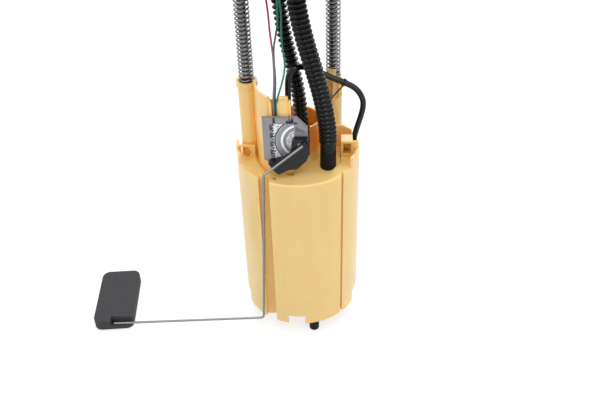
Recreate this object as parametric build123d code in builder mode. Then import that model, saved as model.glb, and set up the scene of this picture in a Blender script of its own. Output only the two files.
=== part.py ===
from build123d import *
import math
import os

os.makedirs("parts", exist_ok=True)

# ------------------------------------------------------------------------------------------
# In-tank fuel pump module.  Millimetres, +Z up.  The origin is the centre of the tank's sealing
# plane, on the reservoir's axis; -Y is the side that carries the level sender.
# Heights given "above the rim" are measured from the reservoir's rim.
# ------------------------------------------------------------------------------------------

# Reservoir, at the bottom of its travel on the guide rods
rim_z = -182.0
shell_r = 59.0
shell_wall = 2.2
shell_depth = 187.0
shell_rise = 1.0            # the side and back wall stands this far above the rim plane
deck_drop = 9.0             # front deck below the rim
deck_edge_r = 2.0
raised_right_y = -28.5      # the wall rises again behind these lines
raised_left_y = -22.0
back_wall_y = 3.0           # behind this line the wall ends level with the ledge
channel_x = (-35.3, -25.0)  # full-height channel for the float arm
channel_y = -43.5
groove_x = 42.1             # narrow upright groove in the front
groove_w = 1.8
groove_y = -38.0
front_notch_x = (-12.3, 5.0)
front_notch_h = 10.5
front_foot_h = 1.5
side_notch_x = shell_r - 5.0
side_notch_h = 13.0
slit_azimuth = -21.5
slit_w = 1.0                # short slit in the raised wall, right of the front deck

# Opening in the deck and the ledge that the pump retainer sits on
opening_front_y = -37.5
opening_side_y = -12.0
ledge_w = 2.5
ledge_t = 2.0
ledge_drop = 13.0
seat_gap = 0.3              # retainer in the opening

# Latch housings beside the towers
latch_wall = 2.0
latch_right_x = (shell_r - 18.0, shell_r - 7.0)
latch_left_x = (2.0 - shell_r, 19.0 - shell_r)
guard_window_x = (latch_left_x[0] + 3.0, latch_left_x[0] + 10.5, latch_left_x[0] + 13.5)
latch_back_y = 0.0
latch_right_h = 8.5
latch_left_h = 4.0

# Pump retainer
retainer_top = -10.5        # above the rim
rod_r = 4.0
rod_gap = 0.1               # rod running in the tower's bore
tower_r = 8.5
collar_r = 10.0
collar_h = 5.0
tower_top = 67.3
cup_depth = 6.5
prong_top = 71.8            # tabs of the right tower
left_axis = (14.3 - shell_r, 0.0)
right_axis = (33.5, 19.0)
core_r = 6.2
core_low = 41.0             # the right tower is finned above this height
seat_disc_t = 2.0
web_top = 69.6
web_backing_top = 65.4
web_front_y = -37.2
web_skin_y = -34.2
web_back_y = -31.0
web_x = (-22.4, -5.9)
web_side_w = 2.2            # curved wall from the web to the left tower, along this line
web_side_line = (
    (-21.9, -35.2),
    (-26.7, -32.2),
    (-30.6, -27.8),
    (-34.2, -20.6),
    (-38.2, -4.2),
)
slot_x = (-20.4, -15.4)
slot_low = 41.0
slot_depth = 4.8
funnel_low = 63.0
funnel_w = 9.4
rib_x = (-18.0, -6.8)       # ribs between the web wall and the sleeve
rib_w = 1.6
sleeve_wall = 2.9
sleeve_top = 28.0
sleeve_step = 8.6           # the bore is wider above this height
sleeve_step_w = 1.0
sleeve_mid = 5.0
sleeve_low = -80.0
return_at = (28.9, -25.0)

shoulder_top = 66.0
web_pocket_x = -10.5
web_pocket_w = 5.0
web_pocket_depth = 4.0
gusset_y = 9.0
fin_count = 8
fin_w = 1.4
tab_azimuths = (-98.0, 82.0)
tab_w = 7.0

# Springs
spring_r = 7.0
spring_wire = 1.3
spring_pitch = 4.2
spring_seat_z = -3.0        # underside of the rod's collar, below the cover

# Cover
cover_r = 69.0
cover_t = 2.0
seal_t = 3.0
seal_r = 67.0
seal_w = 7.0
rod_collar_r = 8.5
rod_low = -19.0             # above the rim
clip_t = 1.2
clip_r = 7.0
clip_groove_r = 3.2

bead_r = 56.0               # pressed ring bead of the plate
bead_w = 5.0
bead_h = 2.5
notch_count = 3
notch_azimuth = 30.0
notch_depth = 3.0
notch_w = 9.0
rivet_r = 4.0
rivet_h = 2.0
supply_at = (-14.0, 0.0)
return_port_at = (1.5, -25.0)
vapour_at = (22.0, 30.0)
supply_port_r = 3.97        # 5/16 inch line
return_port_r = 4.76        # 3/8 inch line
vapour_port_r = 3.18
port_wall = 0.9
supply_low = -14.0
return_low = -12.0
vapour_low = -4.0
supply_reach = 44.0
return_reach = -34.0
vapour_reach = 34.0
elbow_z = 22.0
elbow_r = 11.0
bead_back = 16.0
connector_at = (-23.0, -19.0)
connector_w = 24.0
connector_d = 15.0
connector_low = -8.0
connector_floor = 9.0
connector_top = 22.0
pin_pitch = 9.0
pin_row = 4.6
pin_w = 2.8
pin_t = 0.8
pin_root = 6.0

# Pump
pump_r = 19.0
pump_gap = 0.3
floor_top = 15.0 - shell_depth
floor_t = 3.0
floor_ledge_t = 2.0
pump_low = floor_top + 12.5
inlet_h = 7.5
pump_top = -45.0            # above the rim, top of the cap
case_wall = 1.2
cap_h = 15.0
shaft_r = 2.0
shaft_gap = 0.04
magnet_r = (14.2, 17.6)
armature_r = 13.6
outlet_at = (5.0, 0.0)
jet_at = (-8.0, -9.0)
inlet_at = (0.0, 9.0)
boss_r = 23.5
boss_wall = 1.9

boss_h = 22.0
boss_window_w = 12.0
seat_ledge_h = 8.5
seat_ledge_r = 18.0
seat_hole_r = 14.5
nipple_r = 4.6
nipple_h = 20.0
impeller_r = 15.5
impeller_t = 3.6
impeller_vanes = 18
case_plate_t = 3.0
cap_spigot_h = 8.0
commutator_r = 5.5
bearing_h = 8.0
armature_slots = 8
armature_slot_w = 1.6
slot_reach = 4.0
terminals_at = ((1.0, 12.0), (9.0, 12.0))
terminal_w = 4.8
terminal_t = 0.8
terminal_h = 12.0

# Floor valve and strainer, jet pump
valve_at = (-26.0, 28.0)
valve_r = 8.0
valve_stem_r = 1.5
strainer_r = 12.0
strainer_t = 4.0
jet_low_x = shell_r - 6.6
jet_axis_h = 6.0
jet_body_h = 13.0

# Hoses, tube and wires
supply_hose_r = 6.5
supply_bore_r = 4.6
return_hose_r = 8.25
return_bore_r = 6.2
cuff_r = 7.5
cuff_top = 7.5
cuff_bore_r = 5.7
barb_gap = 0.3
jet_tube_r = 2.8
jet_bore_r = 1.9
jet_tube_hole = (shell_r - 6.0, 4.0)
wire_r = 0.85

tie_w = 2.4
tie_t = 0.7
tie_tail = (-12.0, -8.5, -12.0)

# Level sender
bracket_x = (-29.2, 11.0)
bracket_low = 6.0
bracket_top = 51.4
bracket_front_y = -41.6
pivot_x = 4.0
pivot_h = 28.0
pivot_r = 2.4
pivot_gap = 0.05
pin_short = 0.1             # the pin ends this far below the rotor's face
card_x = (-20.5, -1.0)
card_h = (9.9, 45.8)
card_t = 0.8
rotor_back_y = -42.4
rotor_front_y = -48.6
arm_knee_x = -39.1          # the arm passes outside the shell beside its channel
arm_low = -shell_depth - 0.4
arm_r = 1.2
arm_gap = 0.05
arm_y = min(rotor_front_y - 1.4, -math.sqrt(shell_r**2 - arm_knee_x**2) - 5.82)

flank_w = 6.7
slot_deep = 2.6
back_pocket = 1.4
wiper_at = (-6.0, 12.0)
wiper_size = (12.0, 3.0)
wiper_t = 0.4
terminal_block_h = 4.6
rotor_outline = (
    (-1.4, 33.5),
    (12.7, 33.5),
    (12.7, 19.0),
    (9.0, 10.5),
    (0.6, 2.2),
    (-7.0, 1.2),
    (-16.0, -3.9),
    (-20.5, 0.5),
    (-25.0, 8.3),
    (-22.0, 10.2),
    (-11.0, 12.6),
    (-4.5, 18.0),
    (-3.4, 30.0),
)
rib_outline = (
    (8.5, 33.0),
    (11.0, 29.0),
    (-19.5, 1.5),
    (-22.6, 6.6),
)

# Float
float_size = (41.0, 78.0, 13.0)
float_corner_r = 8.0
float_at = (-202.0, -13.6)
float_top = -shell_depth - 3.0
float_yaw = 5.0
float_leg = 46.0            # arm wire's leg inside the float
float_leg_x = -200.1
float_leg_h = -shell_depth - 9.2

# Feet
foot_r = 5.2
foot_circle_r = shell_r - 9.5
foot_azimuth = -73.8
foot_low = -shell_depth - 18.0
foot_top = -shell_depth - 1.0
foot_stud_r = 2.5
foot_stud_h = 7.0
foot_round_r = 2.5


def up(height):
    """Z of a height above the reservoir's rim."""
    return rim_z + height


def bend_radii(route):
    """Radius of the arc at each inner point: 0.45 of the shorter run / tan(half the turn)."""
    points = [Vector(*place) for place in route]
    radii = []
    for before, here, after in zip(points, points[1:], points[2:]):
        run_in = here - before
        run_out = after - here
        turn = math.radians(run_in.get_angle(run_out))
        radii.append(0.45 * min(run_in.length, run_out.length) / math.tan(turn / 2))
    return radii


inner_r = shell_r - shell_wall
latch_depth = latch_back_y - opening_side_y
latch_right_w = latch_right_x[1] - latch_right_x[0]
front_notch_w = front_notch_x[1] - front_notch_x[0]
front_notch_mid = (front_notch_x[0] + front_notch_x[1]) / 2
side_notch_w = 2 * math.sqrt(shell_r**2 - side_notch_x**2)
web_w = web_x[1] - web_x[0]
slot_w = slot_x[1] - slot_x[0]
slot_mid = (slot_x[0] + slot_x[1]) / 2
sleeve_bore_r = pump_r + pump_gap
card_w = card_x[1] - card_x[0]
card_tall = card_h[1] - card_h[0]
card_mid_x = (card_x[0] + card_x[1]) / 2
card_mid_h = (card_h[0] + card_h[1]) / 2
sleeve_r = sleeve_bore_r + sleeve_wall
deck_low = -deck_drop - shell_wall
span = 2 * shell_r
channel_mid = (channel_x[0] + channel_x[1]) / 2
channel_w = channel_x[1] - channel_x[0]


def shell_outline(wall):
    """Round plan with the arm's channel and the narrow groove, moved in by the wall."""
    Circle(shell_r - wall)
    with Locations((channel_mid, channel_y + wall)):
        Rectangle(channel_w + 2 * wall, span, align=(Align.CENTER, Align.MAX), mode=Mode.SUBTRACT)
    with Locations((groove_x, groove_y + wall)):
        Rectangle(groove_w + 2 * wall, span, align=(Align.CENTER, Align.MAX), mode=Mode.SUBTRACT)


def opening_outline(grow):
    """Deck opening, grown or shrunk: a front bay that widens to the whole inside behind it."""
    with BuildSketch() as bay:
        Polygon(
            (latch_left_x[1], opening_side_y + 1),
            (latch_left_x[1], opening_side_y),
            (-37.5, -21.0),
            (-33.0, -30.0),
            (-28.5, opening_front_y),
            (29.0, opening_front_y),
            (33.4, -32.0),
            (latch_right_x[0], -20.5),
            (latch_right_x[0], opening_side_y + 1),
            align=None,
        )
        with BuildSketch() as back:
            Circle(inner_r)
            with Locations((0, opening_side_y)):
                Rectangle(span, span, align=(Align.CENTER, Align.MAX), mode=Mode.SUBTRACT)
            with Locations((latch_left_x[1], opening_side_y + latch_wall)):
                Rectangle(shell_r, shell_r, align=(Align.MAX, Align.MAX), mode=Mode.SUBTRACT)
            with Locations((latch_right_x[0], latch_back_y)):
                Rectangle(shell_r, shell_r, align=(Align.MIN, Align.MAX), mode=Mode.SUBTRACT)
        if grow:
            offset(amount=grow, kind=Kind.ARC)
    return bay.sketch


with BuildSketch() as latch_floors:
    with Locations((latch_right_x[0], opening_side_y)):
        Rectangle(shell_r, latch_depth, align=(Align.MIN, Align.MIN))
    with Locations((latch_left_x[1], opening_side_y)):
        Rectangle(shell_r, latch_wall, align=(Align.MAX, Align.MIN))
    Circle(shell_r - 1, mode=Mode.INTERSECT)

with BuildSketch() as left_guard:
    with Locations((latch_left_x[1], opening_side_y)):
        Rectangle(shell_r, latch_wall, align=(Align.MAX, Align.MIN))
    Circle(shell_r - 1, mode=Mode.INTERSECT)

with BuildSketch() as right_guard:
    with Locations((latch_right_x[0], opening_side_y)):
        Rectangle(shell_r, latch_wall, align=(Align.MIN, Align.MIN))
    Circle(shell_r - 1, mode=Mode.INTERSECT)

opening_plan = opening_outline(0)
seat_rim_plan = opening_outline(shell_wall - 0.3)
ledge_plan = opening_outline(-ledge_w)
retainer_plan = opening_outline(-seat_gap)


# ------------------------------------------------------------------------------------------
# Reservoir shell: open-bottomed wall with a lower front deck
# ------------------------------------------------------------------------------------------
with BuildPart() as reservoir_shell:
    with BuildSketch(Plane.XY.offset(up(-shell_depth))):
        shell_outline(0)
    extrude(amount=shell_depth - deck_drop)
    deck_rim = (
        reservoir_shell.edges()
        .filter_by(GeomType.CIRCLE)
        .filter_by(lambda edge: abs(edge.radius - shell_r) < 0.01)
        .filter_by(lambda edge: abs(edge.center().Z - up(-deck_drop)) < 0.01)
    )
    fillet(deck_rim, deck_edge_r)
    # the wall rises again behind the front deck
    with BuildSketch(Plane.XY.offset(up(-ledge_drop))):
        Circle(shell_r)
        with Locations((0, raised_left_y)):
            Rectangle(shell_r, span, align=(Align.MAX, Align.MAX), mode=Mode.SUBTRACT)
        with Locations((0, raised_right_y)):
            Rectangle(shell_r, span, align=(Align.MIN, Align.MAX), mode=Mode.SUBTRACT)
    extrude(amount=ledge_drop + shell_rise)
    with BuildSketch(Plane.XY.offset(up(-deck_drop))):
        Circle(inner_r)
    extrude(amount=deck_drop + shell_rise, mode=Mode.SUBTRACT)
    with BuildSketch(Plane.XY.offset(up(-ledge_drop))):
        with Locations((0, back_wall_y)):
            Rectangle(span, span, align=(Align.CENTER, Align.MIN))
    extrude(amount=ledge_drop + shell_rise, mode=Mode.SUBTRACT)
    # hollow below the deck, the space between the deck's seat rim and the wall
    with BuildSketch(Plane.XY.offset(up(-shell_depth))):
        shell_outline(shell_wall)
    extrude(amount=shell_depth - ledge_drop - ledge_t, mode=Mode.SUBTRACT)
    with BuildSketch(Plane.XY.offset(up(-ledge_drop - ledge_t))):
        shell_outline(shell_wall)
        add(seat_rim_plan, mode=Mode.SUBTRACT)
        add(latch_floors.sketch, mode=Mode.SUBTRACT)
    extrude(amount=ledge_drop + ledge_t + deck_low, mode=Mode.SUBTRACT)
    # deck opening with the ledge that the retainer sits on
    with BuildSketch(Plane.XY.offset(up(-ledge_drop))):
        add(opening_plan)
    extrude(amount=ledge_drop - deck_drop, mode=Mode.SUBTRACT)
    with BuildSketch(Plane.XY.offset(up(-ledge_drop - ledge_t))):
        add(ledge_plan)
    extrude(amount=ledge_t, mode=Mode.SUBTRACT)
    # latch housing, hollow and open at the back, with a window in front
    with BuildSketch(Plane.XY.offset(up(-deck_drop))):
        with Locations((latch_right_x[0], opening_side_y)):
            Rectangle(latch_right_w, latch_depth, align=(Align.MIN, Align.MIN))
        add(right_guard.sketch)
    extrude(amount=deck_drop + latch_right_h)
    with BuildSketch(Plane.XY.offset(up(-deck_drop))):
        with Locations((latch_right_x[0] + latch_wall, opening_side_y + latch_wall)):
            Rectangle(latch_right_w - 2 * latch_wall, latch_depth, align=(Align.MIN, Align.MIN))
    extrude(amount=deck_drop + latch_right_h - latch_wall, mode=Mode.SUBTRACT)
    with BuildSketch(Plane.XZ.offset(-opening_side_y)):
        with Locations((latch_right_x[0] + latch_right_w / 2, up(0.2))):
            Rectangle(latch_right_w - 2 * latch_wall + 0.6, 11.6)
    extrude(amount=-latch_wall, mode=Mode.SUBTRACT)
    # guard wall in front of the left tower, its window pointed on the right
    with BuildSketch(Plane.XY.offset(up(-deck_drop))):
        add(left_guard.sketch)
    extrude(amount=deck_drop + latch_left_h)
    with BuildSketch(Plane.XZ.offset(-opening_side_y)):
        Polygon(
            (guard_window_x[0], up(-deck_drop)),
            (guard_window_x[1], up(-deck_drop)),
            (guard_window_x[2], up(-3.5)),
            (guard_window_x[1], up(2.0)),
            (guard_window_x[0], up(2.0)),
            align=None,
        )
    extrude(amount=-latch_wall, mode=Mode.SUBTRACT)
    # ledge notch for the jet tube, short slit in the raised wall
    with BuildSketch(Plane.XY.offset(up(-ledge_drop - ledge_t))):
        with Locations(jet_tube_hole):
            Circle(jet_tube_r + barb_gap)
    extrude(amount=ledge_t, mode=Mode.SUBTRACT)
    with BuildSketch(Plane.XY.offset(up(-6.0))):
        with Locations(Location((0, 0, 0), (0, 0, slit_azimuth))):
            with Locations((shell_r, 0)):
                Rectangle(4 * shell_wall, slit_w)
    extrude(amount=6.0 + shell_rise, mode=Mode.SUBTRACT)
    # small openings in the front deck
    with BuildSketch(Plane.XY.offset(up(deck_low))):
        Polygon((-20.0, -49.6), (-17.6, -45.2), (-23.6, -45.2), align=None)
        with Locations((-5.5, opening_front_y + 1.0)):
            Rectangle(7.0, 6.0, align=(Align.CENTER, Align.MAX))
    extrude(amount=shell_wall, mode=Mode.SUBTRACT)
    # lower edge: front notch, side notches
    with BuildSketch(Plane.XZ):
        with Locations(((front_notch_x[0] + front_notch_x[1]) / 2, up(-shell_depth))):
            Rectangle(front_notch_w, front_notch_h, align=(Align.CENTER, Align.MIN))
    extrude(amount=shell_r, mode=Mode.SUBTRACT)
    with BuildSketch(Plane.YZ):
        with Locations((0, up(-shell_depth))):
            Rectangle(side_notch_w, side_notch_h, align=(Align.CENTER, Align.MIN))
    extrude(amount=shell_r, both=True, mode=Mode.SUBTRACT)
    # ledge that the floor rests on
    with BuildSketch(Plane.XY.offset(up(floor_top - floor_t - floor_ledge_t))):
        shell_outline(shell_wall - 0.2)
        Circle(inner_r - ledge_w, mode=Mode.SUBTRACT)
        with Locations((0, 0)):
            Rectangle(span, side_notch_w, mode=Mode.SUBTRACT)
        with Locations((front_notch_mid, -shell_r)):
            Rectangle(front_notch_w, shell_r, mode=Mode.SUBTRACT)
        with PolarLocations(foot_circle_r, 3, start_angle=foot_azimuth):
            Circle(foot_r + 1.3, mode=Mode.SUBTRACT)
    extrude(amount=floor_ledge_t)
reservoir_shell.part.label = "reservoir_shell"
export_step(reservoir_shell.part, "parts/reservoir_shell.step")

# ------------------------------------------------------------------------------------------
# Pump retainer: inner deck, spring towers, web wall for the sender, sleeve round the pump
# ------------------------------------------------------------------------------------------
with BuildPart() as pump_retainer:
    with BuildSketch(Plane.XY.offset(up(-ledge_drop))):
        add(retainer_plan)
    extrude(amount=ledge_drop + retainer_top)
    # sleeve: long tube below the deck, open at the front above it
    with BuildSketch(Plane.XY.offset(up(sleeve_low))):
        Circle(sleeve_r)
    extrude(amount=sleeve_top - sleeve_low)
    # towers with a collar and a spring cup
    for axis, top in ((left_axis, tower_top), (right_axis, prong_top)):
        with BuildSketch(Plane.XY.offset(up(retainer_top))):
            with Locations(axis):
                Circle(tower_r)
        extrude(amount=top - retainer_top)
        with BuildSketch(Plane.XY.offset(up(tower_top - collar_h))):
            with Locations(axis):
                Circle(collar_r)
        extrude(amount=top - tower_top + collar_h)
    # web wall: a tall skin behind the sender with a lower backing, ribs to the sleeve
    with BuildSketch(Plane.XY.offset(up(retainer_top))):
        with Locations((web_x[0], web_front_y)):
            Rectangle(web_w, web_skin_y - web_front_y, align=(Align.MIN, Align.MIN))
    extrude(amount=web_top - retainer_top)
    with BuildSketch(Plane.XY.offset(up(retainer_top))):
        with Locations((web_x[0], web_front_y)):
            Rectangle(web_w, web_back_y - web_front_y, align=(Align.MIN, Align.MIN))
    extrude(amount=web_backing_top - retainer_top)
    with BuildSketch(Plane.XY.offset(up(retainer_top))):
        with Locations(*[(x, web_back_y) for x in rib_x]):
            Rectangle(rib_w, -web_back_y, align=(Align.CENTER, Align.MIN))
        Circle(sleeve_r - sleeve_wall / 2, mode=Mode.SUBTRACT)
    extrude(amount=sleeve_top - retainer_top)
    # curved side wall from the web back to the left tower
    with BuildSketch(Plane.XY.offset(up(retainer_top))):
        with BuildLine():
            Spline(*web_side_line, tangents=((-1, 0.05), (-0.3, 1)))
        trace(line_width=web_side_w)
    extrude(amount=web_top - retainer_top)
    # lower shoulder at the free end of the web wall
    with BuildSketch(Plane.XY.offset(up(retainer_top))):
        with Locations((web_x[1], web_front_y)):
            Rectangle(2.5, web_skin_y - web_front_y, align=(Align.MIN, Align.MIN))
    extrude(amount=shoulder_top - retainer_top)
    # raised pad right of the wire slot
    with BuildSketch(Plane.XY.offset(up(bracket_top))):
        with Locations((-9.8, web_front_y)):
            Rectangle(7.0, 1.0, align=(Align.CENTER, Align.MAX))
    extrude(amount=web_top - 2.4 - bracket_top)
    # pocket in the back of the web wall
    with BuildSketch(Plane.XY.offset(up(retainer_top + 4.0))):
        with Locations((web_pocket_x, web_back_y)):
            Rectangle(web_pocket_w, web_pocket_depth, align=(Align.CENTER, Align.MAX))
    extrude(amount=slot_low - 6.0 - retainer_top, mode=Mode.SUBTRACT)
    # wire slot with its funnel
    with BuildSketch(Plane.XZ.offset(-web_front_y)):
        with Locations((slot_mid, up(slot_low))):
            Rectangle(slot_w, web_top - slot_low, align=(Align.CENTER, Align.MIN))
        Polygon(
            (slot_mid - funnel_w / 2, up(web_top)),
            (slot_mid + funnel_w / 2, up(web_top)),
            (slot_mid + slot_w / 2, up(funnel_low)),
            (slot_mid - slot_w / 2, up(funnel_low)),
            align=None,
        )
    extrude(amount=-slot_depth, mode=Mode.SUBTRACT)
    # fine upright groove left of the slot
    with BuildSketch(Plane.XY.offset(up(bracket_top))):
        with Locations((-23.6, web_front_y + 1.0)):
            Rectangle(1.0, 1.0, align=(Align.CENTER, Align.CENTER))
    extrude(amount=web_top - bracket_top, mode=Mode.SUBTRACT)
    # gusset beside the right tower
    with BuildSketch(Plane.XZ.offset(-gusset_y)):
        Polygon(
            (right_axis[0] + 2.0, up(retainer_top)),
            (51.5, up(retainer_top)),
            (51.5, up(7.8)),
            (43.0, up(12.9)),
            (right_axis[0] + 2.0, up(12.9)),
            align=None,
        )
    extrude(amount=-shell_wall)
    # snap nose that reaches into the right latch housing
    with BuildSketch(Plane.YZ.offset(latch_right_x[0] + latch_wall + 1.0)):
        Polygon(
            (latch_back_y + 1.0, up(retainer_top)),
            (latch_back_y + 3.0, up(retainer_top)),
            (latch_back_y + 3.0, up(4.5)),
            (opening_side_y + latch_wall + 1.0, up(3.0)),
            (opening_side_y + latch_wall + 4.0, up(-2.0)),
            (latch_back_y + 1.0, up(-2.0)),
            align=None,
        )
    extrude(amount=latch_right_w - 2 * latch_wall - 2.0)
    # return socket on the deck
    with BuildSketch(Plane.XY.offset(up(retainer_top))):
        with Locations(return_at):
            Circle(cuff_bore_r - barb_gap)
    extrude(amount=cuff_top - 1.5 - retainer_top)
    # bores: pump sleeve, its front window, spring cups, rod bores, return, jet tube
    with BuildSketch(Plane.XY.offset(up(sleeve_low))):
        Circle(sleeve_bore_r)
    extrude(amount=sleeve_top - sleeve_low, mode=Mode.SUBTRACT)
    with BuildSketch(Plane.XY.offset(up(sleeve_mid))):
        Polygon((0, 0), (16.0, -sleeve_r - 1.0), (-13.0, -sleeve_r - 1.0), align=None)
    extrude(amount=sleeve_top - sleeve_mid, mode=Mode.SUBTRACT)
    with BuildSketch(Plane.XY.offset(up(sleeve_step))):
        Circle(sleeve_bore_r + sleeve_step_w)
    extrude(amount=sleeve_top - sleeve_step, mode=Mode.SUBTRACT)
    for axis in (left_axis, right_axis):
        with BuildSketch(Plane.XY.offset(up(tower_top - cup_depth))):
            with Locations(axis):
                Circle(spring_r + 0.4)
        extrude(amount=cup_depth + prong_top - tower_top, mode=Mode.SUBTRACT)
        with BuildSketch(Plane.XY.offset(up(-ledge_drop))):
            with Locations(axis):
                Circle(rod_r + rod_gap)
        extrude(amount=ledge_drop + tower_top, mode=Mode.SUBTRACT)
    with BuildSketch(Plane.XY.offset(up(-ledge_drop))):
        with Locations(return_at):
            Circle(4.0)
        with Locations(jet_tube_hole):
            Circle(jet_tube_r + barb_gap)
    extrude(amount=ledge_drop + cuff_top, mode=Mode.SUBTRACT)
    # right tower above the core height: fins round a slim core, tabs round the cup
    with BuildSketch(Plane.XY.offset(up(core_low))):
        with Locations(right_axis):
            Circle(collar_r + 1)
            Circle(core_r, mode=Mode.SUBTRACT)
            with PolarLocations(0, fin_count):
                Rectangle(collar_r + 2, fin_w, align=(Align.MIN, Align.CENTER), mode=Mode.SUBTRACT)
    extrude(amount=tower_top - cup_depth - seat_disc_t - core_low, mode=Mode.SUBTRACT)
    with BuildSketch(Plane.XY.offset(up(tower_top - cup_depth))):
        with Locations(right_axis):
            Circle(collar_r + 1)
            for azimuth in tab_azimuths:
                with Locations(Location((0, 0, 0), (0, 0, azimuth))):
                    Rectangle(collar_r + 2, tab_w, align=(Align.MIN, Align.CENTER), mode=Mode.SUBTRACT)
    extrude(amount=cup_depth + prong_top - tower_top, mode=Mode.SUBTRACT)
pump_retainer.part.label = "pump_retainer"
export_step(pump_retainer.part, "parts/pump_retainer.step")

# ------------------------------------------------------------------------------------------
# Reservoir floor, its feet, valve and strainer
# ------------------------------------------------------------------------------------------
with BuildPart() as reservoir_floor:
    with BuildSketch(Plane.XY.offset(up(floor_top - floor_t))):
        shell_outline(shell_wall + 0.2)
    extrude(amount=floor_t)
    # ring boss that holds the pump's rubber seat, with windows for the fuel
    with BuildSketch(Plane.XY.offset(up(floor_top))):
        Circle(boss_r)
        Circle(boss_r - boss_wall, mode=Mode.SUBTRACT)
    extrude(amount=boss_h)
    with BuildSketch(Plane.XY.offset(up(floor_top + seat_ledge_h))):
        Circle(boss_r - boss_wall / 2)
        Circle(seat_ledge_r, mode=Mode.SUBTRACT)
    extrude(amount=floor_ledge_t)
    with BuildSketch(Plane.XY.offset(up(floor_top))):
        with PolarLocations(boss_r - boss_wall / 2, 4, start_angle=45.0):
            Rectangle(3 * boss_wall, boss_window_w)
    extrude(amount=seat_ledge_h - 1.0, mode=Mode.SUBTRACT)
    # bosses of the feet
    with BuildSketch(Plane.XY.offset(up(foot_top))):
        with PolarLocations(foot_circle_r, 3, start_angle=foot_azimuth):
            Circle(foot_r + 1.0)
    extrude(amount=floor_top - floor_t - foot_top)
    with BuildSketch(Plane.XY.offset(up(foot_top))):
        with PolarLocations(foot_circle_r, 3, start_angle=foot_azimuth):
            Circle(foot_stud_r)
    extrude(amount=foot_stud_h, mode=Mode.SUBTRACT)
    # inlet: stem hole and a ring of fuel holes under the valve
    with BuildSketch(Plane.XY.offset(up(floor_top - floor_t))):
        with Locations(valve_at):
            Circle(valve_stem_r)
            with PolarLocations(valve_r - 3.5, 6):
                Circle(1.6)
    extrude(amount=floor_t, mode=Mode.SUBTRACT)
reservoir_floor.part.label = "reservoir_floor"
export_step(reservoir_floor.part, "parts/reservoir_floor.step")

with BuildPart() as rubber_feet:
    with PolarLocations(foot_circle_r, 3, start_angle=foot_azimuth):
        with Locations((0, 0, up(foot_low))):
            Cylinder(foot_r, foot_top - foot_low, align=(Align.CENTER, Align.CENTER, Align.MIN))
    fillet(rubber_feet.edges().group_by(Axis.Z)[0], foot_round_r)
    with PolarLocations(foot_circle_r, 3, start_angle=foot_azimuth):
        with Locations((0, 0, up(foot_top))):
            Cylinder(foot_stud_r, foot_stud_h - 1.0, align=(Align.CENTER, Align.CENTER, Align.MIN))
rubber_feet.part.label = "rubber_feet"
export_step(rubber_feet.part, "parts/rubber_feet.step")

with BuildPart() as floor_valve:
    with BuildSketch(Plane.XZ.offset(-valve_at[1])) as valve_profile:
        with Locations((valve_at[0], up(floor_top))):
            Polygon(
                (0, -floor_t - 1.5),
                (valve_stem_r, -floor_t - 1.5),
                (valve_stem_r, 0),
                (valve_r, 0),
                (valve_r, 0.8),
                (2.5, 2.2),
                (0, 2.2),
                align=None,
            )
    revolve(axis=Axis((valve_at[0], valve_at[1], 0), (0, 0, 1)))
floor_valve.part.label = "floor_valve"
export_step(floor_valve.part, "parts/floor_valve.step")

with BuildPart() as floor_strainer:
    with BuildSketch(Plane.XY.offset(up(floor_top - floor_t - strainer_t))):
        with Locations(valve_at):
            Circle(strainer_r)
    extrude(amount=strainer_t)
    with BuildSketch(Plane.XY.offset(up(floor_top - floor_t - strainer_t + 1.0))):
        with Locations(valve_at):
            Circle(strainer_r - 1.5)
    extrude(amount=strainer_t, mode=Mode.SUBTRACT)
floor_strainer.part.label = "floor_strainer"
export_step(floor_strainer.part, "parts/floor_strainer.step")

# ------------------------------------------------------------------------------------------
# Fuel pump: case, end plates, motor and impeller
# ------------------------------------------------------------------------------------------
case_low = pump_low + inlet_h
cap_top = pump_top
case_top = cap_top - cap_h
case_h = case_top - case_low
motor_low = case_low + 16.0
motor_top = case_top - 34.0

with BuildPart() as pump_seat:
    with BuildSketch(Plane.XY.offset(up(floor_top + seat_ledge_h + floor_ledge_t))):
        Circle(boss_r - boss_wall - 0.1)
        Circle(seat_hole_r, mode=Mode.SUBTRACT)
    extrude(amount=boss_h - seat_ledge_h - floor_ledge_t)
    with BuildSketch(Plane.XY.offset(up(pump_low))):
        Circle(pump_r)
    extrude(amount=boss_h, mode=Mode.SUBTRACT)
pump_seat.part.label = "pump_seat"
export_step(pump_seat.part, "parts/pump_seat.step")

with BuildPart() as pump_strainer:
    with BuildSketch(Plane.XY.offset(up(floor_top))):
        Circle(boss_r - boss_wall - 1.0)
    extrude(amount=seat_ledge_h - 2.0)
    fillet(pump_strainer.edges(), 1.2)
    with BuildSketch(Plane.XY.offset(up(floor_top + 2.0))):
        with Locations(inlet_at):
            Circle(nipple_r)
    extrude(amount=seat_ledge_h, mode=Mode.SUBTRACT)
pump_strainer.part.label = "pump_strainer"
export_step(pump_strainer.part, "parts/pump_strainer.step")

with BuildPart() as pump_inlet_plate:
    with BuildSketch(Plane.XY.offset(up(pump_low))):
        Circle(pump_r)
    extrude(amount=inlet_h)
    with BuildSketch(Plane.XY.offset(up(floor_top + 2.0))):
        with Locations(inlet_at):
            Circle(nipple_r)
    extrude(amount=pump_low - floor_top - 2.0)
    # impeller chamber, shaft bore, inlet
    with BuildSketch(Plane.XY.offset(up(case_low - impeller_t - 0.6))):
        Circle(impeller_r + 0.3)
    extrude(amount=impeller_t + 0.6, mode=Mode.SUBTRACT)
    with BuildSketch(Plane.XY.offset(up(pump_low + 1.0))):
        Circle(shaft_r + shaft_gap)
    extrude(amount=inlet_h, mode=Mode.SUBTRACT)
    with BuildSketch(Plane.XY.offset(up(floor_top + 2.0))):
        with Locations(inlet_at):
            Circle(nipple_r - 1.4)
    extrude(amount=case_low - impeller_t - floor_top - 2.0, mode=Mode.SUBTRACT)
pump_inlet_plate.part.label = "pump_inlet_plate"
export_step(pump_inlet_plate.part, "parts/pump_inlet_plate.step")

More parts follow.
